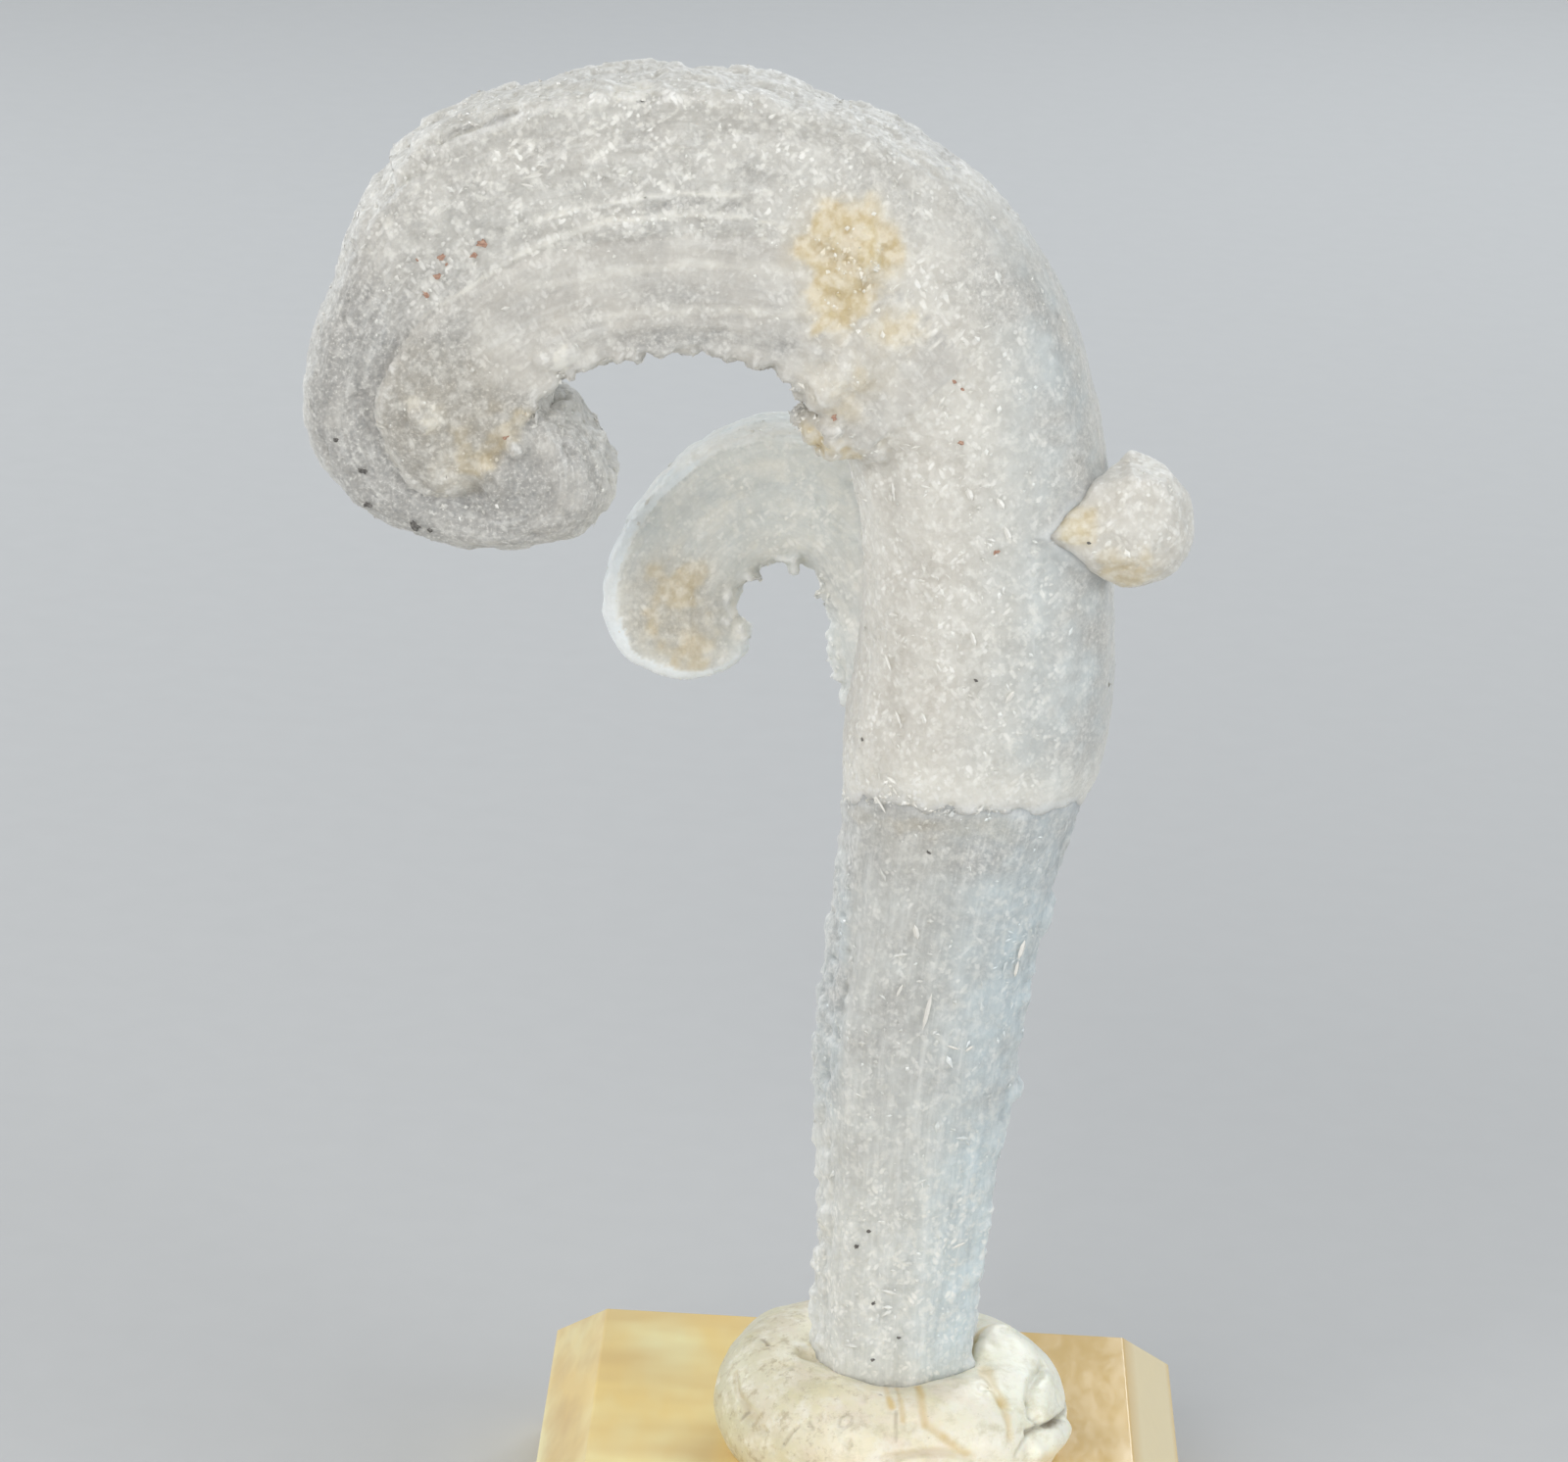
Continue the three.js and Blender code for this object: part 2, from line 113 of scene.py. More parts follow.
# A bundle of fibres is a band between an outer and an inner edge. Each row is one station:
# outer x, outer z, inner x, inner z, middle y, half depth, share of the inner side that is a wall.
HORN = [
    (8.4, 14.6, -3.8, 14.6, 0, 5.3, 0),
    (8.4, 24.6, -4.3, 24.4, 0, 5.6, 0),
    (9, 34.4, -4.4, 34, 0, 5.9, 0),
    (10.2, 46, -5.4, 45.4, 0, 6.5, 0),
    (11.2, 56, -4.9, 55.4, 0, 7, 0),
    (12.3, 64.6, -3.9, 64.2, 0, 7.4, 0),
    (14.3, 71, -4.1, 70.4, 0, 7.8, 0),
    (14.9, 79, -3.5, 78.6, 0, 8.3, 0),
    (14.1, 87.6, -3.9, 86.6, 0, 8.5, 0),
    (12.9, 95.6, -5.4, 92.8, -0.2, 8.4, 0),
    (9.9, 104.4, -7, 98, -0.5, 8.2, 0.3),
    (5.4, 111, -8.6, 103.8, -0.9, 7.9, 0.6),
    (-1, 116, -10.6, 107.4, -1.4, 7.6, 0.9),
    (-9, 118.7, -13.2, 109.5, -1.8, 7.3, 1),
    (-18.3, 119.4, -18.3, 109.3, -2.1, 7.1, 1),
    (-27, 118, -23.9, 108.6, -2.4, 6.8, 1),
    (-34.6, 115.3, -29.4, 106.5, -2.5, 6.5, 1),
    (-39.9, 111.2, -33.7, 103, -2.5, 6.1, 1),
    (-42.7, 104.6, -36.5, 99.9, -2.4, 5.7, 1),
    (-44.8, 96.6, -37.7, 96, -2.1, 5.6, 1),
    (-43.2, 90, -36.9, 92.4, -1.7, 5.7, 1),
    (-38.5, 86.3, -34.4, 90.3, -1.4, 5.8, 1),
    (-31.5, 84.7, -31.9, 89.8, -1.4, 5.8, 1),
    (-25.2, 86.1, -31, 89.6, -2, 6, 1),
    (-22, 89.2, -30.6, 91.4, -2.6, 6.2, 1),
    (-23.3, 93.4, -30, 93.6, -2.9, 6.2, 1),
    (-25.6, 95.9, -29.4, 95.3, -2.9, 5.8, 0.8),
]
CORE = [
    (3.4, 102.6, -4.4, 94.4, -0.7, 8.3, 0.4),
    (-2.4, 107.6, -8.2, 98, -1.2, 7.9, 0.8),
    (-8.4, 110.2, -11.6, 100.3, -1.7, 7.6, 1),
    (-17.8, 111, -17.6, 100.9, -2.3, 7, 1),
    (-25.6, 109.6, -23.9, 99.4, -2.7, 6.6, 1),
    (-32.4, 106, -27.2, 97.5, -2.9, 6.4, 1),
    (-36.8, 101.6, -27.8, 95.9, -3, 6.2, 1),
    (-38.9, 96.4, -29.2, 93.9, -3, 6, 1),
    (-38.2, 92.2, -30.3, 92.3, -2.9, 5.6, 1),
    (-35.4, 89.5, -30.8, 91, -2.7, 5.1, 0.9),
    (-32.7, 88.9, -31.1, 90.1, -2.4, 4.3, 0.5),
]
OFFSHOOT = [
    (3.4, 56.6, -0.4, 57.2, 2.4, 2.6, 0),
    (4.5, 65, -2.9, 66, 5.2, 3.5, 0),
    (3.6, 73.6, -5, 73.4, 7.4, 4, 0),
    (1.9, 81, -6.6, 78.8, 8.8, 4.2, 0),
    (-1.4, 87.2, -7.9, 80.9, 9.4, 4.1, 0),
    (-5.8, 91, -9.5, 81.4, 9.3, 3.8, 0),
    (-11, 92.1, -11, 80.9, 8.9, 3.3, 0),
    (-16.3, 89.9, -12.2, 79.8, 8.5, 2.8, 0),
    (-20.7, 85.1, -12.9, 78.4, 8.2, 2.5, 0),
    (-23, 78.9, -13.1, 77.2, 8.1, 2.4, 0),
    (-21.7, 74.2, -12.9, 76.3, 8.1, 2.3, 0),
    (-17.4, 72.2, -12.6, 75.4, 8.1, 2.2, 0),
    (-13.7, 72.9, -12.2, 75, 8.1, 1.8, 0),
    (-12, 74.2, -12, 75.1, 8.1, 0.9, 0),
]
LAMELLA = [
    (-7.4, 115.8, -8.8, 112.4, -1.7, 6.4, 0.8),
    (-13.6, 117, -13.9, 113.3, -1.9, 7.2, 1),
    (-20.6, 117, -20.2, 113.2, -2.2, 7.15, 1),
    (-26.6, 115.6, -25.7, 112.4, -2.4, 6.8, 1),
    (-31.8, 113, -30.4, 110.9, -2.5, 6.1, 0.8),
]
RIM = [
    (-7.6, 117.7, -8.6, 116, -1.8, 4.6, 0.8),
    (-12.6, 119.8, -13, 117.4, -1.9, 5.3, 1),
    (-21.9, 119.9, -21.2, 117.4, -2.2, 5.5, 1),
    (-28.6, 118.5, -27.4, 116.4, -2.4, 5.5, 1),
    (-35.2, 115.9, -33.8, 113.8, -2.5, 5.2, 1),
    (-39, 113.2, -37.8, 111.4, -2.5, 4.2, 0.8),
]
NUB_AT = (15.0, -4.8, 89.9)
NUB_HALF = (4.8, 4.2, 5.0)
NUB_NECK = 1.2  # how much longer it is towards the stem
NUB_LEAN = (3.4, 0.6)  # how far forward and down its narrow end lies
# Its flat faces: which way each looks and how far out it lies, in shares of the radius.
NUB_FACETS = [
    ((0.3, -0.9, 0.5), 0.93),
    ((0.6, -0.8, -0.2), 0.94),
    ((-0.3, -0.9, -0.1), 0.92),
    ((0.1, -0.7, -0.7), 0.93),
    ((0.9, -0.3, 0.3), 0.95),
    ((-0.4, -0.7, 0.6), 0.88),
    ((0.1, -0.1, 1), 0.83),
    ((0.8, 0.1, -0.6), 0.95),
    ((0.8, 0.1, 0.7), 0.98),
    ((-0.2, 0.1, -1), 0.98),
    ((0.3, 0.9, 0.2), 0.84),
    ((0.5, 0.7, -0.5), 0.86),
]
# Crust patches and nodules: x, y, z, then the three radii.
CRUST = [
    (-5.6, -8, 109.6, 3.7, 1.5, 4.4),
    (-6.8, -7.8, 105.2, 2.7, 1.4, 3.2),
    (-2.7, -8.3, 104.2, 1.3, 1, 2.7),
    (-6, -7.4, 100.3, 3, 2.1, 3.3),
    (-6.4, -6, 95.7, 2.3, 2.4, 2.2),
    (-3.7, -6.1, 95.7, 2.4, 2.2, 2.3),
    (-26.6, -7.6, 100.9, 2.2, 2, 1.7),
    (-35.6, -8.4, 95.9, 1.3, 1.1, 1.8),
    (-33.6, -7, 91.6, 2.6, 1.4, 1.1),
    (2.6, 7.6, 100.4, 3.4, 1.6, 4.6),
    (8.6, 6.6, 84.4, 2.8, 1.8, 2.2),
    (-22.6, 4.6, 105.6, 3.8, 1, 1.8),
    (-34.6, 2.4, 96.2, 2, 1.1, 2.4),
]
# What closes the hollow behind the lobe, as the crust is given.
FILLERS = [
    (-32, 0, 90.4, 4.6, 3.4, 2.6),
    (-28.6, 0, 91.6, 3.4, 3, 2.4),
    (-31, -3.2, 89.7, 3, 3.4, 1.8),
    (-29, -2.9, 93.8, 3.2, 6.1, 4),
    (-27.9, -2.8, 91.8, 4.4, 6.1, 3.4),
    (-29.4, -2.9, 95.4, 2.2, 6.1, 2.6),
    (-30.4, -2.9, 92.2, 2.6, 6, 2.6),
]
# Torn bits on the small horn's inner edge, as the crust is given.
CHIPS = [
    (-12.1, 7.2, 80.4, 0.8, 1, 0.5),
    (-13.6, 6.6, 78.9, 0.3, 0.8, 0.7),
    (-13.4, 6.8, 76.9, 0.5, 1, 0.8),
    (-12.6, 7.6, 75.9, 0.7, 1.4, 0.9),
    (-9.3, 7.2, 81.9, 0.7, 1, 0.4),
    (-8.9, 7, 81.3, 0.3, 0.6, 0.5),
    (-6.9, 7.3, 79.2, 0.6, 0.7, 0.25),
    (-6.1, 7.4, 78.5, 0.5, 0.8, 0.4),
    (-5.7, 7.3, 76.2, 0.45, 0.9, 0.9),
    (-5.4, 7, 74.5, 0.7, 0.9, 1),
    (-5, 6.8, 72.9, 0.6, 0.8, 0.5),
    (-4.6, 6.2, 71.4, 0.5, 0.8, 0.7),
]
# Bumps on the edges of the stem: x, y, z, reach, strength.
STEM_BUMPS = [
    (11.3, -2, 57.9, 1.6, 1),
    (9.7, -2, 43.9, 1.2, 0.9),
    (-4.6, -2, 32.1, 1.2, 0.7),
]
# Where the colour changes, by mark: middle x, y, z, reach, strength.
TINTS = {
    "stain": [
        (-6.6, -9, 109.8, 3.9, 1),
        (-4.4, -9, 109.4, 2.6, 0.9),
        (-6.9, -9, 106.2, 3, 0.9),
        (-7.4, -9, 104, 1.7, 0.7),
        (-2.6, -9, 104.4, 2.2, 0.4),
        (-3.9, -9, 100.8, 2.4, 0.36),
        (-6.6, -8, 98.6, 3.4, 0.33),
        (-6.6, -7, 95.4, 2.6, 0.85),
        (-33, -8.6, 96, 6, 0.22),
        (-32.2, -8.8, 93.2, 3.4, 0.3),
        (-17.4, 5.6, 79.4, 3.4, 0.56),
        (-17.6, 5.6, 76.2, 4, 0.54),
        (-16, 5.6, 74.2, 2.8, 0.46),
        (1, -7.5, 65.6, 3.8, 0.15),
        (2.6, 8, 100.4, 4.4, 0.6),
        (8.6, 7.6, 84.4, 3, 0.6),
    ],
    "nub stain": [
        (15, -8, 85.8, 3.4, 0.62),
        (11.2, -8.8, 90.2, 2.6, 0.65),
    ],
    "dark": [
        (9.4, -5, 105.1, 0.6, 0.8),
    ],
    "clear": [
        (-17.8, 5.6, 77.6, 5.2, 0.8),
        (-15.6, 5.6, 75, 3.6, 0.5),
        (-37.6, -6, 87.8, 3.4, 0.6),
        (-42, -6, 101, 4, 0.5),
        (-35.2, -9, 100.9, 2.6, 0.3),
        (-23.8, -8, 94.3, 2.4, 0.4),
        (-17.9, -9, 102.6, 4, 0.18),
        (3.3, -8, 106.6, 3.4, 0.35),
        (-5.1, 5.6, 80.6, 3.4, 0.4),
    ],
    "chalk": [
        (-36.2, -9.2, 96.4, 1, 0.9),
        (-35.3, -9.2, 95.2, 1, 0.9),
        (-27.4, -8.6, 101.8, 1.3, 0.85),
        (-25.8, -8.8, 100.4, 1.2, 0.85),
        (-28.6, -8.8, 99.9, 0.8, 0.8),
        (-18.6, 5.6, 84.6, 3.4, 0.25),
        (-38.7, -7, 108.6, 2.4, 0.5),
        (-21.5, -6, 119.3, 2, 0.6),
    ],
}
# Thin lines on the horn: kind, depth of the groove, half width, strength, points x, z.
LINES = [
    ("dark", 0.1, 0.16, 0.4, [(-23.4, 118.3), (-21.6, 118.7), (-19.4, 119.3)]),
    ("dark", 0.2, 0.22, 0.4, [(-35.8, 115), (-33.6, 116.1), (-31.5, 116.9), (-29.5, 117.7)]),
    ("chalk", -0.12, 0.24, 0.95, [(-29.8, 109.6), (-25.1, 111.5), (-19, 112.8), (-13.5, 113.1)]),
    ("clear", 0.1, 0.5, 0.5, [(-20.5, 111.7), (-17, 112.3), (-14, 112.2)]),
    (
        "chalk", -0.1, 0.28, 0.8,
        [(-34.4, 103.9), (-29.8, 107.4), (-27.1, 109), (-23, 110.7), (-17.5, 111.5)],
    ),
    ("chalk", -0.1, 0.3, 0.85, [(-17.5, 111.5), (-13.4, 111.4), (-10.6, 110.9)]),
    ("chalk", -0.05, 0.45, 0.4, [(-27, 105.9), (-21.5, 107.2), (-16, 108), (-10.5, 107.8)]),
    ("chalk", -0.08, 0.4, 0.5, [(-26.2, 103.1), (-20.7, 104.2), (-14.5, 104.8), (-9.7, 104.7)]),
    ("clear", 0.1, 1.1, 0.35, [(-24.1, 101.4), (-17.2, 102.6), (-10.3, 102.5)]),
    ("dark", 0.2, 0.5, 0.3, [(-2.8, 117.1), (-0.7, 116), (1.3, 114.5)]),
    ("clear", 0.2, 1.3, 0.8, [(-41, 102), (-39.8, 97.1), (-38.6, 93.3), (-35.6, 89.7), (-32.1, 88.2)]),
    ("clear", 0.1, 1.2, 0.6, [(-32.1, 88.2), (-28.6, 89.4)]),
    ("stain", 0, 1.1, 0.5, [(-32, 92.4), (-30.8, 93.7), (-29.4, 94.9), (-28.3, 96.2)]),
    ("stain", 0, 0.9, 0.14, [(-2.8, 65.9), (0.8, 66.4), (4.3, 66.8), (8.6, 66.6)]),
]
# Small foreign grains that sit on the front: tint, x, z, size.
SPECKS = [
    ("rust", -31.7, 108.5, 0.6),
    ("rust", -32.3, 107.6, 0.42),
    ("rust", -34.6, 107.3, 0.45),
    ("rust", -34.2, 106.8, 0.22),
    ("rust", -34.8, 105.9, 0.5),
    ("rust", -35.6, 104.5, 0.45),
    ("rust", -36.3, 107, 0.2),
    ("rust", 1.9, 100.3, 0.3),
    ("rust", 2.5, 99.8, 0.25),
    ("rust", 2.7, 95.9, 0.4),
    ("rust", 5.6, 87.9, 0.4),
    ("rust", -6.4, 97.3, 0.45),
    ("soot", -21, 118.9, 0.22),
    ("soot", -39.5, 88.4, 0.6),
    ("soot", -39.9, 91, 0.5),
    ("soot", -36.1, 87, 0.7),
    ("soot", -35, 86.7, 0.4),
    ("soot", -41.9, 93.2, 0.4),
    ("soot", -0.5, 33, 0.3),
    ("soot", -1.3, 31.6, 0.34),
    ("soot", 0.2, 27, 0.32),
    ("soot", 0.4, 22.2, 0.3),
    ("soot", 2.3, 24.2, 0.3),
    ("soot", 2.2, 64.5, 0.3),
    ("soot", -3.1, 72.2, 0.25),
    ("soot", 4.8, 78.2, 0.25),
    ("soot", 12.2, 89, 0.25),
    ("rust", -29.6, 94.6, 0.35),
]
# Single blades that stand out on the front: x and z of both ends, width.
NEEDLES = [
    (-1.9, 68.4, -1, 67.1, 0.24),
    (3.1, 53.1, 2.6, 50, 0.32),
    (9.7, 57.2, 9.3, 55.6, 0.45),
    (9.3, 55.5, 9.1, 54.1, 0.4),
    (0.9, 53.6, 0.5, 52.6, 0.22),
    (1.5, 58.6, 1.8, 57.4, 0.4),
    (4.4, 49, 5.4, 48.6, 0.16),
    (5.8, 48.4, 6.4, 48.9, 0.24),
    (5.8, 31.6, 6.9, 32, 0.2),
    (4.2, 81.9, 4.6, 80.8, 0.3),
    (1.9, 79.3, 2.3, 78.6, 0.2),
    (7, 76.6, 7.6, 77.6, 0.35),
    (-0.8, 75.2, -0.3, 74.2, 0.3),
    (1, 75.4, 1.4, 74.6, 0.26),
    (-1.8, 79.2, -1.2, 77.9, 0.3),
    (-28.9, 113.4, -27.6, 113.7, 0.24),
    (-29.2, 113, -28.2, 112.8, 0.2),
    (5.4, 92, 6, 91.2, 0.4),
    (3.3, 92.6, 3.7, 91.7, 0.45),
    (6.1, 89.9, 6.6, 88.8, 0.36),
]

# ---- What the regions look like ----
# How strongly each region shows each mark, from 0 to 1. One below 0 takes some away again.
MARKED = {
    "stain": {"lobe": 0.1},
    # cool on the small horn's edge is part of a painted bluish-white glow: light through the thin edge from
    # behind.
    "cool": {"stem": 0.35, "small": 0.5, "edge": 0.4, "arch": 0.1},
    "clear": {
        "upper": 0.1, "shoulder": 0.5, "arch": 0.42, "core": 0.4, "lobe": 1.0, "curl": 0.95,
        "stem": 0.36, "nub": 0.2,
    },
    # chalk on the small horn's edge and on the horn's outer edge is a painted bright rim: light through the
    # thin edges from behind.
    "chalk": {
        "upper": 0.3, "nub": 0.2, "small": 0.35, "edge": 0.5, "arch": 0.1, "lobe_edge": 0.35,
        "outer": 0.3,
    },
    "dark": {"lobe": 0.09},
    "fibrous": {"stem": 1.0, "curl": 1.0, "small": 0.9, "core": 0.5, "arch": 0.6},
    "flecked": {
        "upper": 0.9, "shoulder": -0.5, "arch": 0.95, "core": 0.45, "lobe": 0.15, "curl": 0.4,
        "beak": -0.2, "stem": 0.46, "small": 0.7, "nub": 0.8,
    },
    # whiteness_and_painted_light: a painted bluish-white glow on the small horn's rim, a painted bright edge
    # on the lobe, and painted light lifting the shade in the seams.
    "whiteness_and_painted_light": {"rim": 0.7, "lobe_edge": 0.1, "seam": 0.45},
}
# How much bluer each region is painted on its right side: painted cool light from the right.
PAINTED_COOL_LIGHT_RIGHT = {"stem": 0.65, "upper": 0.32, "shoulder": 0.3}
# How high the druse and the plates stand, in millimetres.
GRAIN = {"upper": 0.1, "arch": 0.12, "curl": 0.12, "core": 0.06}
PLATES = {"upper": 0.07, "arch": 0.32, "curl": 0.2}

# ---- Small crystals in the skins ----
CROWD = 3.2  # how many more there are than the tables say, where they lie thickest
GRAIN_LENGTH = (0.12, 1.6)
WIDEST_GRAIN = 0.42
NEEDLE_RISE = (0.12, 0.16)  # how far the two ends of a single blade stand off the skin
# per_mm2 by region, length and slenderness as median and spread, rise off the skin, and the most
# whiteness_and_painted_light: paler crystals, partly painted glints.
SCATTERED = {
    "crumbs": {
        "per_mm2": {
            "upper": 0.7, "arch": 1.2, "curl": 0.5, "core": 0.3, "stem": 0.35, "small": 0.12,
            "edge": 0.6, "nub": 0.5, "crust": 2.4, "lines": 2.4, "ragged": 1.0, "seam": 9.0,
        },
        "length": (0.26, 0.45),
        "slender": (1.35, 0.2),
        "rise": (-0.5, 0.7),
        "whiteness_and_painted_light": 0.8,
        "seed": 19,
    },
    "blades": {
        "per_mm2": {
            "upper": 0.8, "arch": 0.35, "curl": 0.2, "core": 0.12, "stem": 0.4,
            "small": 0.05, "nub": 0.15,
        },
        "length": (0.46, 0.45),
        "slender": (3.0, 0.3),
        "rise": (-0.1, 0.25),
        "whiteness_and_painted_light": 0.8,
        "seed": 23,
    },
    "flakes": {
        "per_mm2": {"ragged": 1.6, "lobe_edge": 0.8, "crust": 1.2, "outer": 0.2, "seam": 1.2},
        "length": (0.6, 0.3),
        "slender": (1.6, 0.25),
        "rise": (-0.3, 1.0),
        "whiteness_and_painted_light": 0.7,
        "seed": 29,
    },
}

# ---- The putty and the block: millimetres ----
# The ring: its middle, its radius, the radius of its roll, its height, and the gap under it.
PUTTY = {"x": 2.1, "ring": 8.3, "roll": 5.2, "top": 8.4, "gap": 0.02}
BLOCK = {"side": 50.8, "height": 12.7, "bevel": 4.25, "edge": 0.12}
SHOULDER_Z = BLOCK["height"] - BLOCK["bevel"]
FOLD_WIDTH = 1.6  # how much wider a fold is than a crease
# Lines in the putty: how deep a crease it is, or how high a fold if below 0, half width, how much
# ochre lies in it, how much darker it is painted, and points x, y, z.
CREASES = [
    (0.1, 0.35, 0.8, 0, [(1.5, -6, 20.6), (1.6, -8, 21.1), (1.7, -8.9, 21.1), (2, -10, 20.8)]),
    (0.12, 0.3, 0.9, 0.1, [(2.3, -6, 20.6), (2.5, -8.5, 21.1), (2.8, -10.5, 20.6), (2.9, -11.1, 20.3)]),
    (0.15, 0.22, 0.1, 0.4, [(2.3, -10.5, 20.6), (2.3, -11.6, 19.9), (2.4, -12.4, 19.1)]),
    (0.08, 0.4, 1, 0, [(3.9, -6.2, 20.7), (4.1, -8.6, 21.1), (4.3, -10.3, 20.6), (4.6, -11.3, 20)]),
    (0.08, 0.45, 0.9, 0.1, [(4.6, -11.3, 20), (5.6, -11.6, 19.4), (6.9, -11.8, 18.5), (7.7, -11.8, 18)]),
    (0.15, 0.7, 0.8, 0, [(8.9, -3.2, 21.1), (9.3, -4.9, 21.1), (9.7, -6.4, 20.8), (10.3, -7.6, 20.3)]),
    (0.12, 0.6, 0.5, 0, [(10.3, -7.6, 20.3), (10.7, -8.6, 19.4), (10.9, -9.4, 18.4)]),
    (-0.4, 0.9, 0, 0, [(10.6, 3.6, 20.9), (9.8, 2.7, 21.1), (9.2, 1.3, 20.9), (9, -0.8, 20.8)]),
    (0.2, 0.4, 0.55, 0, [(9.6, 3.4, 20.9), (8.8, 2.2, 20.9), (8.2, 0.8, 20.8), (8.1, -0.8, 20.7)]),
    (0.45, 0.5, 0, 0.3, [(13.6, 0.1, 20), (13.1, -2.3, 20.2), (12.5, -4.2, 20.2), (12.3, -5.9, 19.8)]),
    (0.4, 0.45, 0, 0.3, [(12.3, -5.9, 19.8), (12.5, -6.9, 19), (13.3, -6.6, 18.1)]),
    (-0.3, 0.95, 0, 0, [(14, -1.9, 19.6), (13.5, -4.3, 19.4), (13.4, -5.7, 18.9)]),
    (0.95, 0.4, 0, 1, [(12.3, -8, 18.2), (13.2, -6.8, 18.1), (14.1, -5.4, 17.7), (14.9, -3.4, 17.4)]),
    (0.8, 0.4, 0, 0.8, [(14.9, -3.4, 17.4), (15.5, -0.3, 16.9), (15.4, 2.2, 16.4)]),
    (-0.6, 1.1, 0, 0, [(13.3, -7.8, 16.5), (14.6, -5.2, 16.3), (15.3, -2.7, 15.9)]),
    (0.3, 0.3, 0, 0.3, [(12.4, -8, 18), (12, -8.8, 17.7), (11.5, -9.5, 17.1)]),
    (
        0.45, 0.5, 0.15, 0.2,
        [(1.5, -12.9, 17.8), (3.2, -12.9, 18.2), (4.7, -12.6, 18.4), (6.2, -12.3, 18.3), (8.1, -11.8, 17.7)],
    ),
    (0.1, 0.2, 0, 0.7, [(-8.1, -0.1, 20.8), (-7.6, -1.2, 20.9)]),
    (0.1, 0.2, 0, 0.6, [(-9.3, -6.8, 17.4), (-8.9, -7, 18.1)]),
    (0.16, 0.24, 0, 0.35, [(-6, -10.5, 17.3), (-5.5, -10.4, 18.3), (-5, -10.4, 18.9)]),
    (0.12, 0.26, 0, 0.4, [(-4.3, -10.4, 19.3), (-3.9, -10.9, 19)]),
    (0.12, 0.2, 0, 0.4, [(-1.8, -10.9, 20), (-1.4, -10.6, 20.2), (-1, -10.9, 20.1), (-1, -11.4, 19.7)]),
    (
        0.12, 0.2, 0, 0.4,
        [(-1, -11.4, 19.7), (-1.5, -11.6, 19.4), (-1.9, -11.3, 19.5), (-1.8, -10.9, 20)],
    ),
    (0.2, 0.5, 0.2, 0.2, [(-10, -3, 19.2), (-9.6, -5.2, 18.6), (-8, -8, 18)]),
    (0.4, 0.6, 0.3, 0.1, [(-7, 9.5, 19), (-3, 11.5, 19), (2, 12.6, 17.6), (6.5, 11.5, 16.4)]),
    (0.6, 0.45, 0, 0.6, [(4, 9, 21), (6, 11, 20), (9, 11, 18), (11.2, 10, 16)]),
    (0.12, 0.4, 0.8, 0, [(-2, 8, 21.1), (-2.4, 10.4, 20.6), (-3.4, 12, 18.8)]),
]
# Where the putty swells or is pressed in: x, y, z, reach, how far.
SWELLS = [
    (13.6, -4.2, 18.2, 3.4, 0.5),
    (9.6, 1.6, 20.6, 3.6, 0.35),
    (-9.6, -3.6, 17.6, 5.5, 0.35),
    (-4.4, -2, 20.9, 1.1, -0.7),
    (-1.6, -12.4, 17.8, 3.2, 0.25),
    (-1.4, -11.1, 19.8, 0.5, 0.12),
    (7.6, -11, 18.8, 3.2, 0.2),
    (-8, 9, 17, 4, 0.4),
    (10, 9, 17, 3.6, 0.35),
]


# ---- Numbers ----
def smooth(value, low, high):
    """0 below low and 1 above high, with an even slope between them."""
    share = np.clip((value - low) / (high - low), 0.0, 1.0)
    return share * share * (3 - 2 * share)


def fade(value, low, high):
    """1 below low and 0 above high."""
    return 1 - smooth(value, low, high)


def hashed(cell, seed):
    """A repeatable number from 0 to 1 for each whole-number cell."""
    mixed = sum(cell[:, k] * mixer for k, mixer in enumerate(CELL_MIXERS)) + seed * SEED_MIXER
    mixed = ((mixed ^ (mixed >> 13)) * LAST_MIXER) & 0xFFFFFFFF
    return ((mixed ^ (mixed >> 16)) & 0xFFFF) / 65535.0


def noise(points, size, seed):
    """Smooth noise from -1 to 1 whose bumps are about size across. size may differ along each axis."""
    scaled = points / np.asarray(size)
    cell = np.floor(scaled).astype(np.int64)
    part = scaled - cell
    part = part * part * (3 - 2 * part)
    total = np.zeros(len(points))
    for corner in np.ndindex(2, 2, 2):
        corner = np.array(corner)
        weight = np.prod(np.where(corner, part, 1 - part), axis=1)
        total += weight * hashed(cell + corner, seed)
    return 2 * total - 1


def along(rows, share):
    """The rows of a bundle, read off on a smooth curve at each share of the way along it."""
    rows = np.array(rows)
    ends = np.vstack([2 * rows[0] - rows[1], rows, 2 * rows[-1] - rows[-2]])
    place = share * (len(rows) - 1)
    first = np.clip(np.floor(place).astype(int), 0, len(rows) - 2)
    part = (place - first)[:, None]
    a, b, c, d = (ends[first + k] for k in range(4))
    curve = 2 * b + (c - a) * part + (2 * a - 5 * b + 4 * c - d) * part**2
    return 0.5 * (curve + (3 * b - a - 3 * c + d) * part**3)


def unit(vectors):
    return vectors / (np.linalg.norm(vectors, axis=-1, keepdims=True) + 1e-12)


def off_line(points, corners):
    """How far each point is from a line through the corners, in a plane or in space."""
    nearest = np.full(len(points), 1e9)
    for first, last in zip(corners[:-1], corners[1:]):
        first = np.array(first)
        step = np.array(last) - first
        share = np.clip((points - first) @ step / (step @ step), 0, 1)
        nearest = np.minimum(nearest, np.linalg.norm(points - first - share[:, None] * step, axis=1))
    return nearest


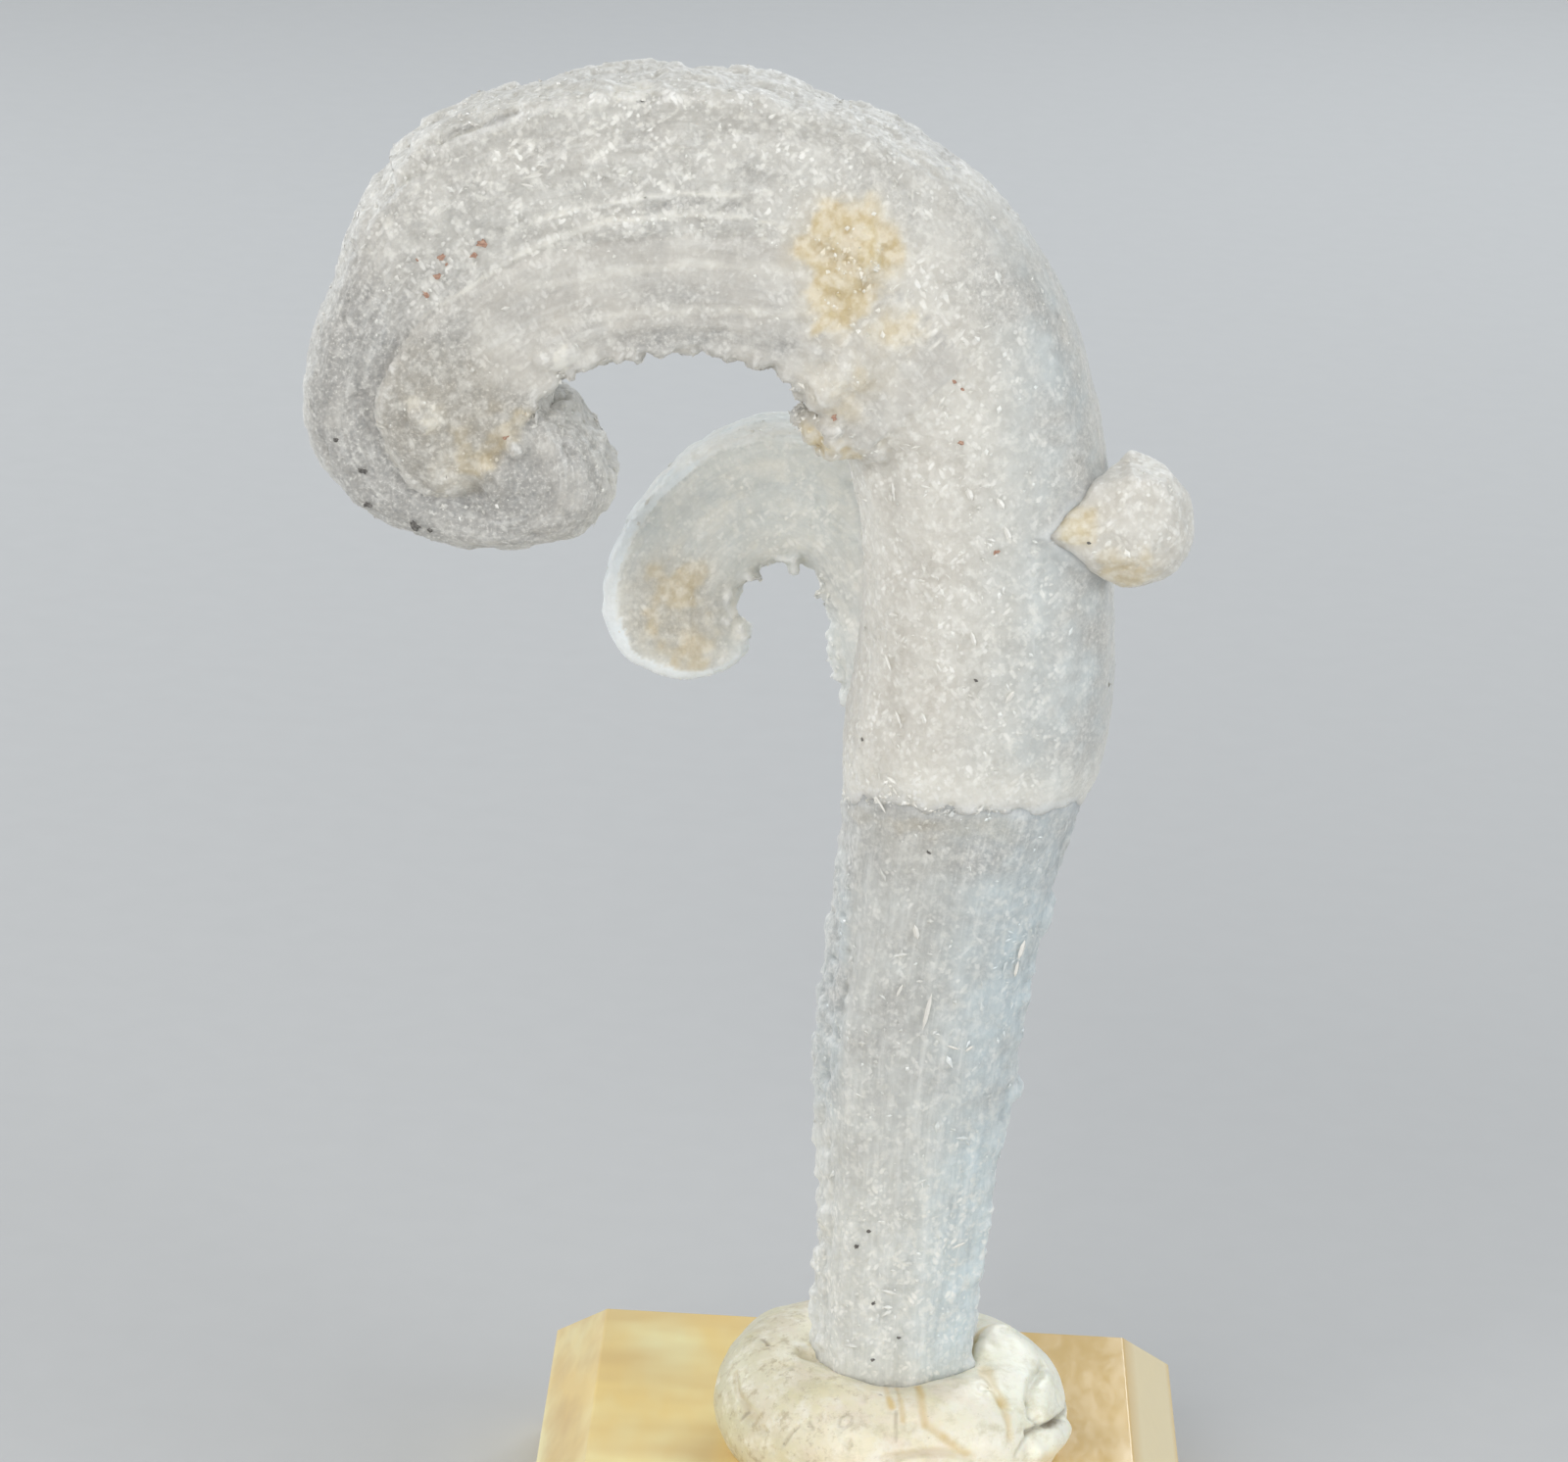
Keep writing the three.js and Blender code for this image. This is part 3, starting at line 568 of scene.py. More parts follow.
def in_spots(points, rows):
    """How far inside any of the soft spots x, y, z, reach, strength each point is."""
    total = np.zeros(len(points))
    for *centre, reach, strength in rows:
        away = np.linalg.norm(points - np.array(centre), axis=1)
        total = np.maximum(total, strength * fade(away, SPOT_FADE[0] * reach, SPOT_FADE[1] * reach))
    return total


def tree_of(points):
    """A search tree that finds the nearest of the points."""
    tree = KDTree(len(points))
    for index, point in enumerate(points):
        tree.insert(point, index)
    tree.balance()
    return tree


# ---- Meshes as arrays ----
def tube_faces(rings, around, closed=False):
    """The quads of a tube of rings, as corner numbers. A closed tube runs back into itself."""
    ring = np.arange(rings if closed else rings - 1)[:, None] * around
    following = (ring + around) % (rings * around)
    step = np.arange(around)[None, :]
    after = (step + 1) % around
    quads = np.stack([ring + step, ring + after, following + after, following + step], -1)
    return quads.reshape(-1, 4).tolist()


def together(pieces):
    """All the pieces, each a pair of points and faces, as one such pair."""
    points = []
    faces = []
    start = 0
    for piece_points, piece_faces in pieces:
        points.append(piece_points)
        faces += [[start + corner for corner in face] for face in piece_faces]
        start += len(piece_points)
    return np.vstack(points), faces


def polygon(turn, sides):
    """How far a polygon's outline lies inside its circle, as a share of the radius."""
    sector = 2 * math.pi / sides
    within = np.mod(turn + math.pi, sector) - sector / 2
    return math.cos(sector / 2) / np.cos(within) - 1


class Bundle:
    """A bundle of fibres as a tube, with each point's place in it.

    share is how far along the bundle a point is, turn how far round, 0 being the outer edge, and
    straight its place in millimetres if the bundle were unbent: across, sideways, lengthwise.
    from_outer and from_inner are how far it is, across, from the bundle's edges.
    """

    def __init__(self, rows, rings, around, relief, outward=ROUND, first=0.0, last=1.0):
        self.share = np.repeat(np.linspace(first, last, rings), around)
        self.turn = np.tile(np.linspace(0, 2 * math.pi, around, endpoint=False), rings)
        station = along(rows, self.share)
        wall = ROUND + (WALLED - ROUND) * np.clip(station[:, 6], 0, 1)
        cosine = np.cos(self.turn)
        sine = np.sin(self.turn)
        power = np.where(cosine > 0, outward, wall)
        reach = (np.abs(cosine) ** power + np.abs(sine) ** power) ** (-1 / power)
        half = (station[:, 0:2] - station[:, 2:4]) / 2
        middle = (station[:, 0:2] + station[:, 2:4]) / 2
        offset = np.empty((len(self.share), 3))
        offset[:, [0, 2]] = half * (reach * cosine)[:, None]
        offset[:, 1] = station[:, 5] * reach * sine
        line = middle[::around]
        steps = np.linalg.norm(np.diff(line, axis=0), axis=1)
        run = np.concatenate([[0], np.cumsum(steps)])
        wide = np.linalg.norm(half, axis=1)
        self.straight = np.stack([wide * reach * cosine, offset[:, 1], np.repeat(run, around)], 1)
        self.from_outer = wide * (1 - reach * cosine)
        self.from_inner = wide * (1 + reach * cosine)
        self.out = np.zeros_like(offset)
        self.out[:, [0, 2]] = unit(half)
        self.ahead = np.zeros_like(offset)
        self.ahead[:, [0, 2]] = np.repeat(unit(np.gradient(line, axis=0)), around, axis=0)
        centre = np.stack([middle[:, 0], station[:, 4], middle[:, 1]], 1)
        size = np.linalg.norm(offset, axis=1) + 1e-9
        self.points = centre + offset
        self.points = centre + offset * (1 + relief(self) / size)[:, None]
        ends = [list(range(around))[::-1], list(range((rings - 1) * around, rings * around))]
        self.faces = tube_faces(rings, around) + ends


def read(items, name):
    """The three numbers that each item of a mesh has under a name."""
    values = np.empty(len(items) * 3)
    items.foreach_get(name, values)
    return values.reshape(-1, 3)


def write(mesh, name, values):
    """Gives each point of a mesh a number, or three, under a name."""
    kind, field = ("FLOAT", "value") if np.ndim(values) == 1 else ("FLOAT_VECTOR", "vector")
    flat = np.asarray(values, dtype=np.float32).ravel()
    mesh.attributes.new(name, kind, "POINT").data.foreach_set(field, flat)


def ball(centre, radii, rough, seed, detail=4):
    """A lump: a sphere pushed in and out by noise."""
    mesh = bpy.data.meshes.new("lump")
    form = bmesh.new()
    bmesh.ops.create_icosphere(form, subdivisions=detail, radius=1.0)
    form.to_mesh(mesh)
    form.free()
    points = read(mesh.vertices, "co")
    faces = [list(face.vertices) for face in mesh.polygons]
    bpy.data.meshes.remove(mesh)
    points *= (1 + rough * noise(points + seed, LUMP_GRAIN, seed))[:, None]
    return points * np.array(radii) + np.array(centre), faces


def linked(name, data):
    made = bpy.data.objects.new(name, data)
    bpy.context.scene.collection.objects.link(made)
    return made


def mesh_object(name, points, faces, smooth_shaded=False):
    mesh = bpy.data.meshes.new(name)
    mesh.from_pydata((np.asarray(points) * MM).tolist(), [], faces)
    mesh.update()
    mesh.polygons.foreach_set("use_smooth", [smooth_shaded] * len(mesh.polygons))
    return linked(name, mesh)


def fused(name, pieces, voxel):
    """One closed skin round all the pieces."""
    rough = mesh_object("rough", *together(pieces))
    remesh = rough.modifiers.new("skin", "REMESH")
    remesh.mode = "VOXEL"
    remesh.voxel_size = voxel * MM
    graph = bpy.context.evaluated_depsgraph_get()
    mesh = bpy.data.meshes.new_from_object(rough.evaluated_get(graph))
    bpy.data.objects.remove(rough)
    mesh.name = name
    return linked(name, mesh)


# ---- The crystal's relief, as it is before its skin is weathered ----
def fibres(where, height, seed):
    """Fine lines that run with the fibres, in three widths."""
    total = 0
    for k, (share, wide, long) in enumerate(FIBRES):
        total = total + share * noise(where.straight, (wide, wide, long), seed + k)
    return height * total


def plain_relief(seed):
    return lambda where: fibres(where, 0.12, seed)


def collar_edge(points):
    """How high the coat's ragged lower edge is at each point."""
    front = smooth(-points[:, 1], 0.5, 6.5)
    back = smooth(points[:, 1], 0.5, 6.5)
    uneven = 0.5 * noise(points, (3.0, 3.0, 30), 4) + 0.35 * noise(points, (1.0, 1.0, 30), 5)
    return COLLAR_Z + COLLAR_RISE * (front - 0.5 * back) + uneven


def seam(points):
    """Where the coat's lower edge lies on the stem."""
    return fade(np.abs(points[:, 2] - collar_edge(points) - 0.1), 0.25, 0.75)


def in_strip(points):
    """The pitted bluish strip down the left side of the stem."""
    x, y, z = points.T
    return fade(x, *STRIP[0]) * fade(y, *STRIP[1]) * smooth(z, *STRIP[2]) * fade(z, *STRIP[3])


def coat_relief(where):
    """The coat stands proud of the stem and thins out at the collar in a ragged edge."""
    x, y, z = where.points.T
    edge = collar_edge(where.points)
    coat = (COAT + 0.2 * smooth(-y, 2.5, 6.5)) * (0.75 + 0.25 * smooth(z, edge, edge + 1.4))
    coat = coat * fade(z, COLLAR_Z + 5, COLLAR_Z + 20) - COAT_TUCK * fade(z, edge - 0.9, edge + 0.1)
    return coat * (x > -8) + fibres(where, 0.14, 1)


def stem_relief(where):
    """Seven soft facets, fine lines, and small scallops down the edges."""
    points = where.points
    z = points[:, 2]
    collar = collar_edge(points)
    facets = FACET_DEPTH * polygon(where.turn, STEM_FACETS) * fade(z, COLLAR_Z - 12, COLLAR_Z)
    edge = smooth(np.abs(np.cos(where.turn)), 0.72, 0.95)
    scallops = np.maximum(0, noise(points, (2.0, 2.0, 1.1), 6)) + 0.5 * noise(points, 0.7, 7)
    pitted = in_strip(points) * smooth(noise(points, 0.8, 8), 0.1, 0.6)
    lumps = 0.55 * in_spots(points, STEM_BUMPS)
    lumps += 0.35 * smooth(z, COLLAR_Z - 14, COLLAR_Z)
    lumps += 0.08 * smooth(z, collar - 2.5, collar)
    lumps -= STEM_TUCK * smooth(z, collar + 0.5, collar + 1.3)
    scalloped = (0.32 + 0.2 * fade(z, 34, 50)) * edge * scallops
    return facets + fibres(where, 0.15, 9) + scalloped - 0.4 * pitted + lumps


def core_relief(where):
    """Fibres, with the lower face of the core set back a step."""
    share = where.share
    lower = smooth(-np.cos(where.turn), 0.42, 0.5) * smooth(share, 0.1, 0.16) * fade(share, 0.42, 0.5)
    return fibres(where, 0.11, 2) - CORE_STEP * lower


def nub_taper(x):
    """How wide the pear-shaped crystal is at x, as a share: it narrows towards the stem."""
    return np.where(x < 0, np.clip((1.02 + x) / (1 - x), 0.01, 1) ** 0.38, 1.0)


def nub_shape():
    """The pear-shaped crystal on the right, which leans on the stem."""
    points, faces = ball((0, 0, 0), (1, 1, 1), 0.05, 11, 6)
    for direction, reach in NUB_FACETS:
        direction = unit(np.array(direction))
        points = points - np.maximum(points @ direction - reach, 0)[:, None] * direction
    x, y, z = points.T
    lean = np.minimum(0, x)
    made = [
        NUB_AT[0] + NUB_HALF[0] * x * np.where(x < 0, NUB_NECK, 1.0),
        NUB_AT[1] + NUB_LEAN[0] * lean + NUB_HALF[1] * nub_taper(x) * y,
        NUB_AT[2] - 0.5 * x * (x > 0) + NUB_LEAN[1] * lean + NUB_HALF[2] * nub_taper(x) * z,
    ]
    return np.stack(made, 1), faces


def off_nub(points):
    """About how far each point is outside the pear-shaped crystal, in millimetres."""
    neck = NUB_NECK * NUB_HALF[0]
    away = points - np.array(NUB_AT)
    x = np.clip(away[:, 0] / neck, -1, 0.99)
    y, z = ((away[:, k + 1] - NUB_LEAN[k] * np.minimum(0, x)) / NUB_HALF[k + 1] for k in range(2))
    beyond = np.maximum(0, np.abs(away[:, 0]) - neck)
    return NUB_HALF[2] * (np.hypot(y, z) - nub_taper(x) * np.sqrt(1 - x * x)) + beyond


def by_small_horn(points):
    """How near each point of the back is to the small horn's side, from 0 to 1."""
    tree = tree_of(Bundle(OFFSHOOT, 150, 60, plain_relief(3), WALL_LIKE).points)
    x, y, z = points.T
    away = np.full(len(points), 9.0)
    for index in np.flatnonzero((x > -9) & (y > 3) & (z > 50) & (z < 96)):
        away[index] = tree.find(points[index])[2]
    return fade(away, 0.2, 2.4) * smooth(y, 3.0, 5.5)


# ---- What is drawn on the crystal ----
def crusted(points):
    """Where the crust patches lie, from 0 to 1."""
    return in_spots(points, [(x, y, z, 0.85 * max(wide, high), 1.0) for x, y, z, wide, _, high in CRUST])


def stirred(points):
    """The points moved about a little, so that spots measured from them have ragged edges."""
    moved = [noise(points, 1.5, seed) + 0.6 * noise(points, 0.6, seed + 3) for seed in (61, 62, 63)]
    return points + 0.6 * np.stack(moved, 1)


def lined(points, kind):
    """How strongly each point is marked by the lines of a kind."""
    total = np.zeros(len(points))
    for name, _, width, strength, corners in LINES:
        if name == kind:
            ragged = width * (1 + 0.6 * noise(points, 1.6, 21))
            near = fade(off_line(points[:, [0, 2]], corners) / np.maximum(ragged, 0.05), 0.4, 1.0)
            broken = np.clip(0.75 + 0.5 * noise(points, 1.0, 22), 0, 1)
            total = np.maximum(total, strength * near * broken)
    return total


def grooves(points):
    """How deep each point lies in a line's groove, below 0."""
    total = np.zeros(len(points))
    for _, depth, width, _, corners in LINES:
        total -= depth * fade(off_line(points[:, [0, 2]], corners) / width, 0.2, 1.0)
    return total


# ---- The crystal's skins ----
class Skin:
    """One crystal piece, what is known of each of its points, and how far it is in each region."""

    def __init__(self, made, facts):
        self.object = made
        self.mesh = made.data
        self.points = read(self.mesh.vertices, "co") / MM
        self.normals = read(self.mesh.vertex_normals, "vector")
        self.faces = [list(face.vertices) for face in self.mesh.polygons]
        self.regions = {}
        for name, values in facts.items():
            setattr(self, name, values)

    def region(self, name):
        return self.regions.get(name, np.zeros(len(self.points)))

    def weighed(self, values):
        """One value for each point, from the regions that it is in."""
        total = np.zeros(len(self.points))
        for name, value in values.items():
            total = total + value * self.region(name)
        return total

    def weather(self, stand, shake):
        """Pushes each point out by stand and shakes it a little, in millimetres."""
        random = np.random.default_rng(len(self.points))
        self.points += self.normals * stand[:, None]
        self.points += np.asarray(shake)[..., None] * random.normal(size=self.points.shape)
        self.mesh.vertices.foreach_set("co", (self.points * MM).ravel())
        self.mesh.polygons.foreach_set("use_smooth", [True] * len(self.mesh.polygons))
        self.mesh.update()
        self.normals = read(self.mesh.vertex_normals, "vector")


def surveyed(made, bundles):
    """A skin that knows each point's nearest bundle, as part, and its place in it."""
    points = read(made.data.vertices, "co") / MM
    every = {
        name: np.concatenate([getattr(item, name) for item in bundles])
        for name in FACTS + ("points", "out", "ahead")
    }
    owner = np.concatenate([np.full(len(item.points), k) for k, item in enumerate(bundles)])
    tree = tree_of(every["points"])
    nearest = np.array([tree.find(point)[1] for point in points])
    away = points - every["points"][nearest]
    across = np.sum(away * every["out"][nearest], axis=1)
    lengthwise = np.sum(away * every["ahead"][nearest], axis=1)
    facts = {name: every[name][nearest] for name in FACTS}
    facts["straight"] = facts["straight"] + np.stack([across, away[:, 1], lengthwise], 1)
    facts["part"] = owner[nearest]
    return Skin(made, facts)


def horn_regions(skin):
    """The parts of the horn that look different; part 1 is the core and parts from 2 are layers."""
    share = skin.share
    main = skin.part == 0
    core = skin.part == 1
    arched = smooth(share + 0.03 * noise(skin.points, 4.0, 91), *ARCH_STARTS)
    curled = smooth(share, *CURL_STARTS)
    upper = main * (1 - arched)
    return {
        "upper": upper,
        "arch": np.maximum(main * arched * (1 - curled), skin.part >= 2),
        "curl": main * curled,
        "core": core * 1.0,
        "shoulder": upper * fade(skin.from_outer, 2.0, 8.5),
        "lobe": core * smooth(share, *LOBE_STARTS),
        "lobe_edge": fade(skin.from_outer, 0.3, 0.9) * core * (share > 0.55),
        "ragged": fade(skin.from_inner, 0.4, 1.2) * core * (share < 0.62),
        "outer": fade(skin.from_outer, 0.3, 1.3) * ~core,
        "beak": main * smooth(share, *BEAK_STARTS),
    }


def horn_grain(skin):
    """How high the druse stands, which is least on the shoulder and along the outer edge."""
    lumpy = 0.16 + 0.18 * fade(skin.points[:, 2], *SMOOTH_CRUST_Z)
    grainy = np.maximum(skin.weighed(GRAIN), lumpy * crusted(skin.points))
    calm = fade(skin.from_outer, 0.6, 3.0) * (skin.part != 1)
    return grainy * (1 - 0.5 * np.maximum(skin.region("shoulder"), calm))


def horn_relief(skin, grainy):
    """The druse, the plates on the outer edge, the torn edges, the pits and the grooves."""
    points = skin.points
    straight = skin.straight
    stand = grainy * (noise(points, 0.75, 41) + 0.9 * noise(straight, (1.1, 1.1, 2.2), 42))
    stand += 0.16 * skin.weighed({"arch": 1.0, "curl": 0.8}) * noise(points, 3.0, 45)
    outer = fade(skin.from_outer, 0.6, 1.6) * (skin.part != 1)
    plates = smooth(noise(points, 2.4, 46), -0.1, 0.12) + 0.6 * smooth(noise(points, 1.0, 56), 0, 0.2)
    stand += outer * skin.weighed(PLATES) * (plates - 0.6)
    lower = skin.region("ragged")
    stand += 0.45 * lower * noise(points, (0.9, 3.0, 0.9), 43)
    stand += 0.3 * lower * smooth(noise(points, (0.55, 2.0, 0.55), 58), -0.1, 0.2)
    stand += 0.45 * skin.region("lobe_edge") * smooth(noise(straight, (2.0, 2.0, 0.6), 47), -0.2, 0.3)
    beak = smooth(skin.share, 0.9, 0.94) * (skin.part == 0) * fade(skin.from_outer, 0.3, 0.9)
    stand += 0.35 * beak * smooth(noise(points, (0.9, 3.0, 0.9), 57), -0.2, 0.3)
    pits = smooth(noise(straight, (0.8, 0.8, 1.8), 44), 0.45, 0.8)
    stand -= 0.4 * pits * skin.region("curl") * fade(skin.from_outer, 1.2, 3.4)
    return stand + grooves(points)


def horn_skin():
    """The coated horn: the upper stem, the arch and the curl, with the layers that lie on them."""
    bundles = [
        Bundle(HORN, 520, 130, coat_relief, first=COAT_STARTS),
        Bundle(CORE, 260, 110, core_relief, WALL_LIKE),
        Bundle(LAMELLA, 90, 56, plain_relief(4)),
        Bundle(RIM, 110, 56, plain_relief(5)),
    ]
    lumps = [ball(row[:3], row[3:], 0.3, 60 + k) for k, row in enumerate(CRUST + FILLERS)]
    made = fused("horn", [(item.points, item.faces) for item in bundles] + lumps, HORN_VOXEL)
    skin = surveyed(made, bundles)
    skin.regions = horn_regions(skin)
    from_nub = off_nub(skin.points)
    rooted = by_small_horn(skin.points)
    grainy = horn_grain(skin)
    stand = horn_relief(skin, grainy) + NUB_FILLET * fade(from_nub, 0.0, 1.4) + HORN_FILLET * rooted
    skin.weather(stand, 0.2 * grainy + SHAKE / 2)
    # The seam round the nub and at the small horn's root is painted lighter, like the collar's edge: painted
    # light lifting the shade in these joins.
    by_nub = 0.5 * fade(np.abs(from_nub), 0.3, 0.9)
    joined = np.maximum(by_nub, 0.3 * smooth(rooted, 0.5, 1.0))
    skin.regions["seam"] = np.maximum(skin.region("upper") * seam(skin.points), joined)
    return skin


def stem_skin():
    """The bare crystal between the putty and the collar."""
    tube = Bundle(HORN, 250, 170, stem_relief, last=STEM_ENDS)
    made = mesh_object("bare_stem", tube.points, tube.faces)
    skin = Skin(made, {name: getattr(tube, name) for name in FACTS})
    points = skin.points
    rooted = by_small_horn(points)
    # The seam at the collar and at the small horn's root is painted lighter: painted light lifting the shade
    # in the join.
    joined = np.maximum(0.5 * seam(points), 0.3 * smooth(rooted, 0.5, 1.0))
    skin.regions = {"stem": np.ones(len(points)), "seam": joined}
    stand = 0.05 * noise(points, 0.9, 46) + 0.05 * noise(points, 0.45, 47) + STEM_FILLET * rooted
    skin.weather(stand, SHAKE)
    return skin


def small_horn_skin():
    """The small horn at the back, with its torn inner edge."""
    tube = Bundle(OFFSHOOT, 300, 130, plain_relief(3), WALL_LIKE)
    chips = [ball(row[:3], row[3:], 0.6, 90 + k) for k, row in enumerate(CHIPS)]
    skin = surveyed(fused("small_horn", [(tube.points, tube.faces)] + chips, SMALL_VOXEL), [tube])
    points = skin.points
    share = skin.share
    uneven = 0.3 * noise(points, 1.3, 51) - 0.75 * smooth(share, 0.6, 0.76)
    edge = fade(skin.from_outer + uneven, 0.5, 0.85)
    tip = smooth(share, 0.84, 0.93)
    inner = fade(skin.from_inner, 0.3, 1.0) * smooth(share, 0.45, 0.6)
    torn = fade(skin.from_inner, 0.4, 1.4) * smooth(share, 0.02, 0.08) * fade(share, 0.7, 0.8)
    skin.regions = {
        "small": np.ones(len(points)),
        "ragged": torn,
        # The edge and rim are painted bluish-white: a painted glow of light through the thin edge from
        # behind. The rim is weaker where the skin faces up.
        "edge": np.maximum(edge, 0.8 * np.maximum(tip, inner)),
        "rim": np.maximum(edge, 0.7 * tip) * (1 - 0.6 * smooth(skin.normals[:, 2], 0.35, 0.7)),
    }
    stand = 0.05 * noise(points, 0.8, 48) + 0.06 * noise(skin.straight, (0.8, 0.8, 3), 49)
    stand += 0.5 * torn * np.abs(noise(points, (1.0, 3.0, 1.0), 50)) - 0.2 * torn
    stand += 0.1 * edge * noise(points, 1.1, 55) + 0.2 * tip * noise(points, 1.0, 54)
    skin.weather(stand, SHAKE)
    return skin


def nub_skin():
    points, faces = nub_shape()
    none = np.zeros(len(points))
    facts = {**dict.fromkeys(FACTS, none), "straight": points - np.array(NUB_AT)}
    skin = Skin(mesh_object("nub", points, faces), facts)
    skin.regions = {"nub": np.ones(len(points))}
    skin.weather(0.16 * noise(points, 2.2, 52) + 0.12 * noise(points, 0.9, 53), SHAKE)
    return skin


def tints(skin):
    """What changes the crystal's colour at each point, each from 0 to 1."""
    points = skin.points
    x, _, z = points.T
    spots = stirred(points)
    crust = crusted(spots)
    patchy = noise(points, 2.2, 31) + 0.6 * noise(points, 0.8, 32)
    powdery = noise(skin.straight, (1.0, 1.0, 2.5), 34) + 0.5 * noise(points, 0.6, 35)
    upper, stem, lobe, curl = map(skin.region, ("upper", "stem", "lobe", "curl"))
    right = smooth(x, 1.0, 9.0)
    low = fade(z, 30, 46)
    foot = fade(z, 18, 26)
    collar = upper * fade(z, COLLAR_Z + 2.5, COLLAR_Z + 8) * (z > COLLAR_Z - 2)
    strip = in_strip(points) * stem
    marks = {name: skin.weighed(values) for name, values in MARKED.items()}
    stain = in_spots(spots, TINTS["stain"]) + skin.region("nub") * in_spots(spots, TINTS["nub stain"])
    marks["stain"] += stain * (0.45 + 0.75 * smooth(stain + 0.3 * patchy, 0.3, 0.5))
    marks["stain"] += lined(spots, "stain") + 0.2 * crust
    # Bluer on the right, and low on the stem's right: painted cool light from the right. The strip's blue is
    # the crystal's own.
    marks["cool"] += right * skin.weighed(PAINTED_COOL_LIGHT_RIGHT) + 0.2 * right * stem * low + 0.6 * strip
    marks["clear"] *= 1 + (0.6 - 0.35 * lobe - 0.25 * curl) * patchy
    marks["clear"] += lined(points, "clear") + in_spots(spots, TINTS["clear"]) + 0.1 * skin.region("outer")
    marks["clear"] += stem * (0.25 * smooth(z, COLLAR_Z - 8, COLLAR_Z) - 0.3 * low) + 0.3 * strip
    marks["chalk"] *= 1 + 0.5 * patchy
    marks["chalk"] += (0.75 - 0.45 * lobe) * crust + 0.28 * skin.region("small") * smooth(powdery, 0.1, 0.7)
    marks["chalk"] += lined(points, "chalk")
    marks["chalk"] += 0.7 * smooth(in_spots(spots, TINTS["chalk"]) + 0.25 * patchy, 0.35, 0.5)
    marks["chalk"] += 0.7 * collar - 0.25 * right * upper + stem * (0.1 * low + 0.25 * foot)
    marks["dark"] += in_spots(spots, TINTS["dark"]) * (1 + patchy) + lined(points, "dark")
    marks["flecked"] += 0.4 * crust + 0.3 * collar + 0.3 * stem * low
    # On the crust the mark is painted light that lifts the shade of its lumps.
    marks["whiteness_and_painted_light"] *= 1 + 0.45 * noise(points, 1.1, 33)
    marks["whiteness_and_painted_light"] += 0.25 * crust * fade(z, *SMOOTH_CRUST_Z)
    return {name: np.clip(values, 0, 1) for name, values in marks.items()}


def write_tints(skin):
    skin.tints = tints(skin)
    for name, values in {**skin.tints, "straight": skin.straight}.items():
        write(skin.mesh, name, values)


# ---- What lies in the skins ----
def crowding(skin, per_mm2, seed):
    """How many small crystals each square millimetre of the skin has, at each point."""
    crowd = skin.weighed(per_mm2) + per_mm2.get("crust", 0) * crusted(skin.points)
    crowd = crowd + per_mm2.get("lines", 0) * lined(skin.points, "chalk")
    crowd = crowd * smooth(noise(skin.straight, (1.3, 1.3, 3.5), seed + 1), -0.5, 0.8)
    crowd = CROWD * crowd * smooth(noise(skin.points, 1.7, seed + 2), -0.4, 0.7)
    return crowd * (skin.points[:, 2] > GRIP_Z) * (1 - 0.85 * skin.region("shoulder"))


def sown(skin, crowd, random):
    """Places on the skin, with what is known of each, drawn as thickly as crowd says."""
    corners = np.array([face + face[-1:] * (4 - len(face)) for face in skin.faces if len(face) <= 4])
    quad = skin.points[corners]
    area = np.linalg.norm(np.cross(quad[:, 2] - quad[:, 0], quad[:, 3] - quad[:, 1]), axis=1) / 2
    owners = corners[np.flatnonzero(random.random(len(quad)) < area * crowd[corners].mean(axis=1))]
    weight = random.dirichlet(np.ones(4), len(owners))[:, :, None]
    return {
        "at": np.sum(skin.points[owners] * weight, axis=1),
        "normal": unit(np.sum(skin.normals[owners] * weight, axis=1)),
        "straight": skin.straight[owners[:, 0]],
        **{key: values[owners[:, 0]] for key, values in skin.tints.items()},
    }


def scattered(name, skins, per_mm2, length, slender, rise, whiteness_and_painted_light, seed):
    """Small pointed crystals: length and slenderness as median and spread, rise off the skin."""
    random = np.random.default_rng(seed)
    places = [sown(skin, crowding(skin, per_mm2, seed), random) for skin in skins]
    every = {key: np.concatenate([part[key] for part in places]) for key in places[0]}
    normal = every["normal"]
    count = len(normal)
    loose = random.normal(size=(count, 3))
    flat = unit(loose - normal * np.sum(loose * normal, axis=1)[:, None])
    axis = unit(flat + normal * random.uniform(*rise, count)[:, None])
    side = unit(np.cross(axis, normal))
    third = np.cross(axis, side)
    drawn = [random.lognormal(math.log(median), spread, count) for median, spread in (length, slender)]
    long = np.clip(drawn[0], *GRAIN_LENGTH)[:, None]
    wide = np.minimum(long / np.clip(drawn[1], 1.0, 7.0)[:, None], WIDEST_GRAIN)
    thick = wide * random.uniform(0.3, 0.6, count)[:, None]
    at = every["at"] + normal * (0.05 * thick)
    tips = [at + axis * long / 2, at - axis * long / 2]
    waist = [at + side * wide / 2, at + third * thick / 2, at - side * wide / 2, at - third * thick / 2]
    sides = [(2, 3), (3, 4), (4, 5), (5, 2)]
    shape = np.array([(0, a, b) for a, b in sides] + [(1, b, a) for a, b in sides])
    faces = shape[None] + 6 * np.arange(count)[:, None, None]
    points = np.stack(tips + waist, 1).reshape(-1, 3)
    made = mesh_object(name, points, faces.reshape(-1, 3).tolist())
    every["chalk"] = np.clip(every["chalk"] + 0.25, 0, 1)
    # Some crystals are paler than the rest: their own whiteness, partly painted glints.
    every["whiteness_and_painted_light"] = whiteness_and_painted_light * random.random(count) ** 2.5
    for key in (*MARKED, "straight"):
        write(made.data, key, np.repeat(every[key], 6, axis=0))
    return made


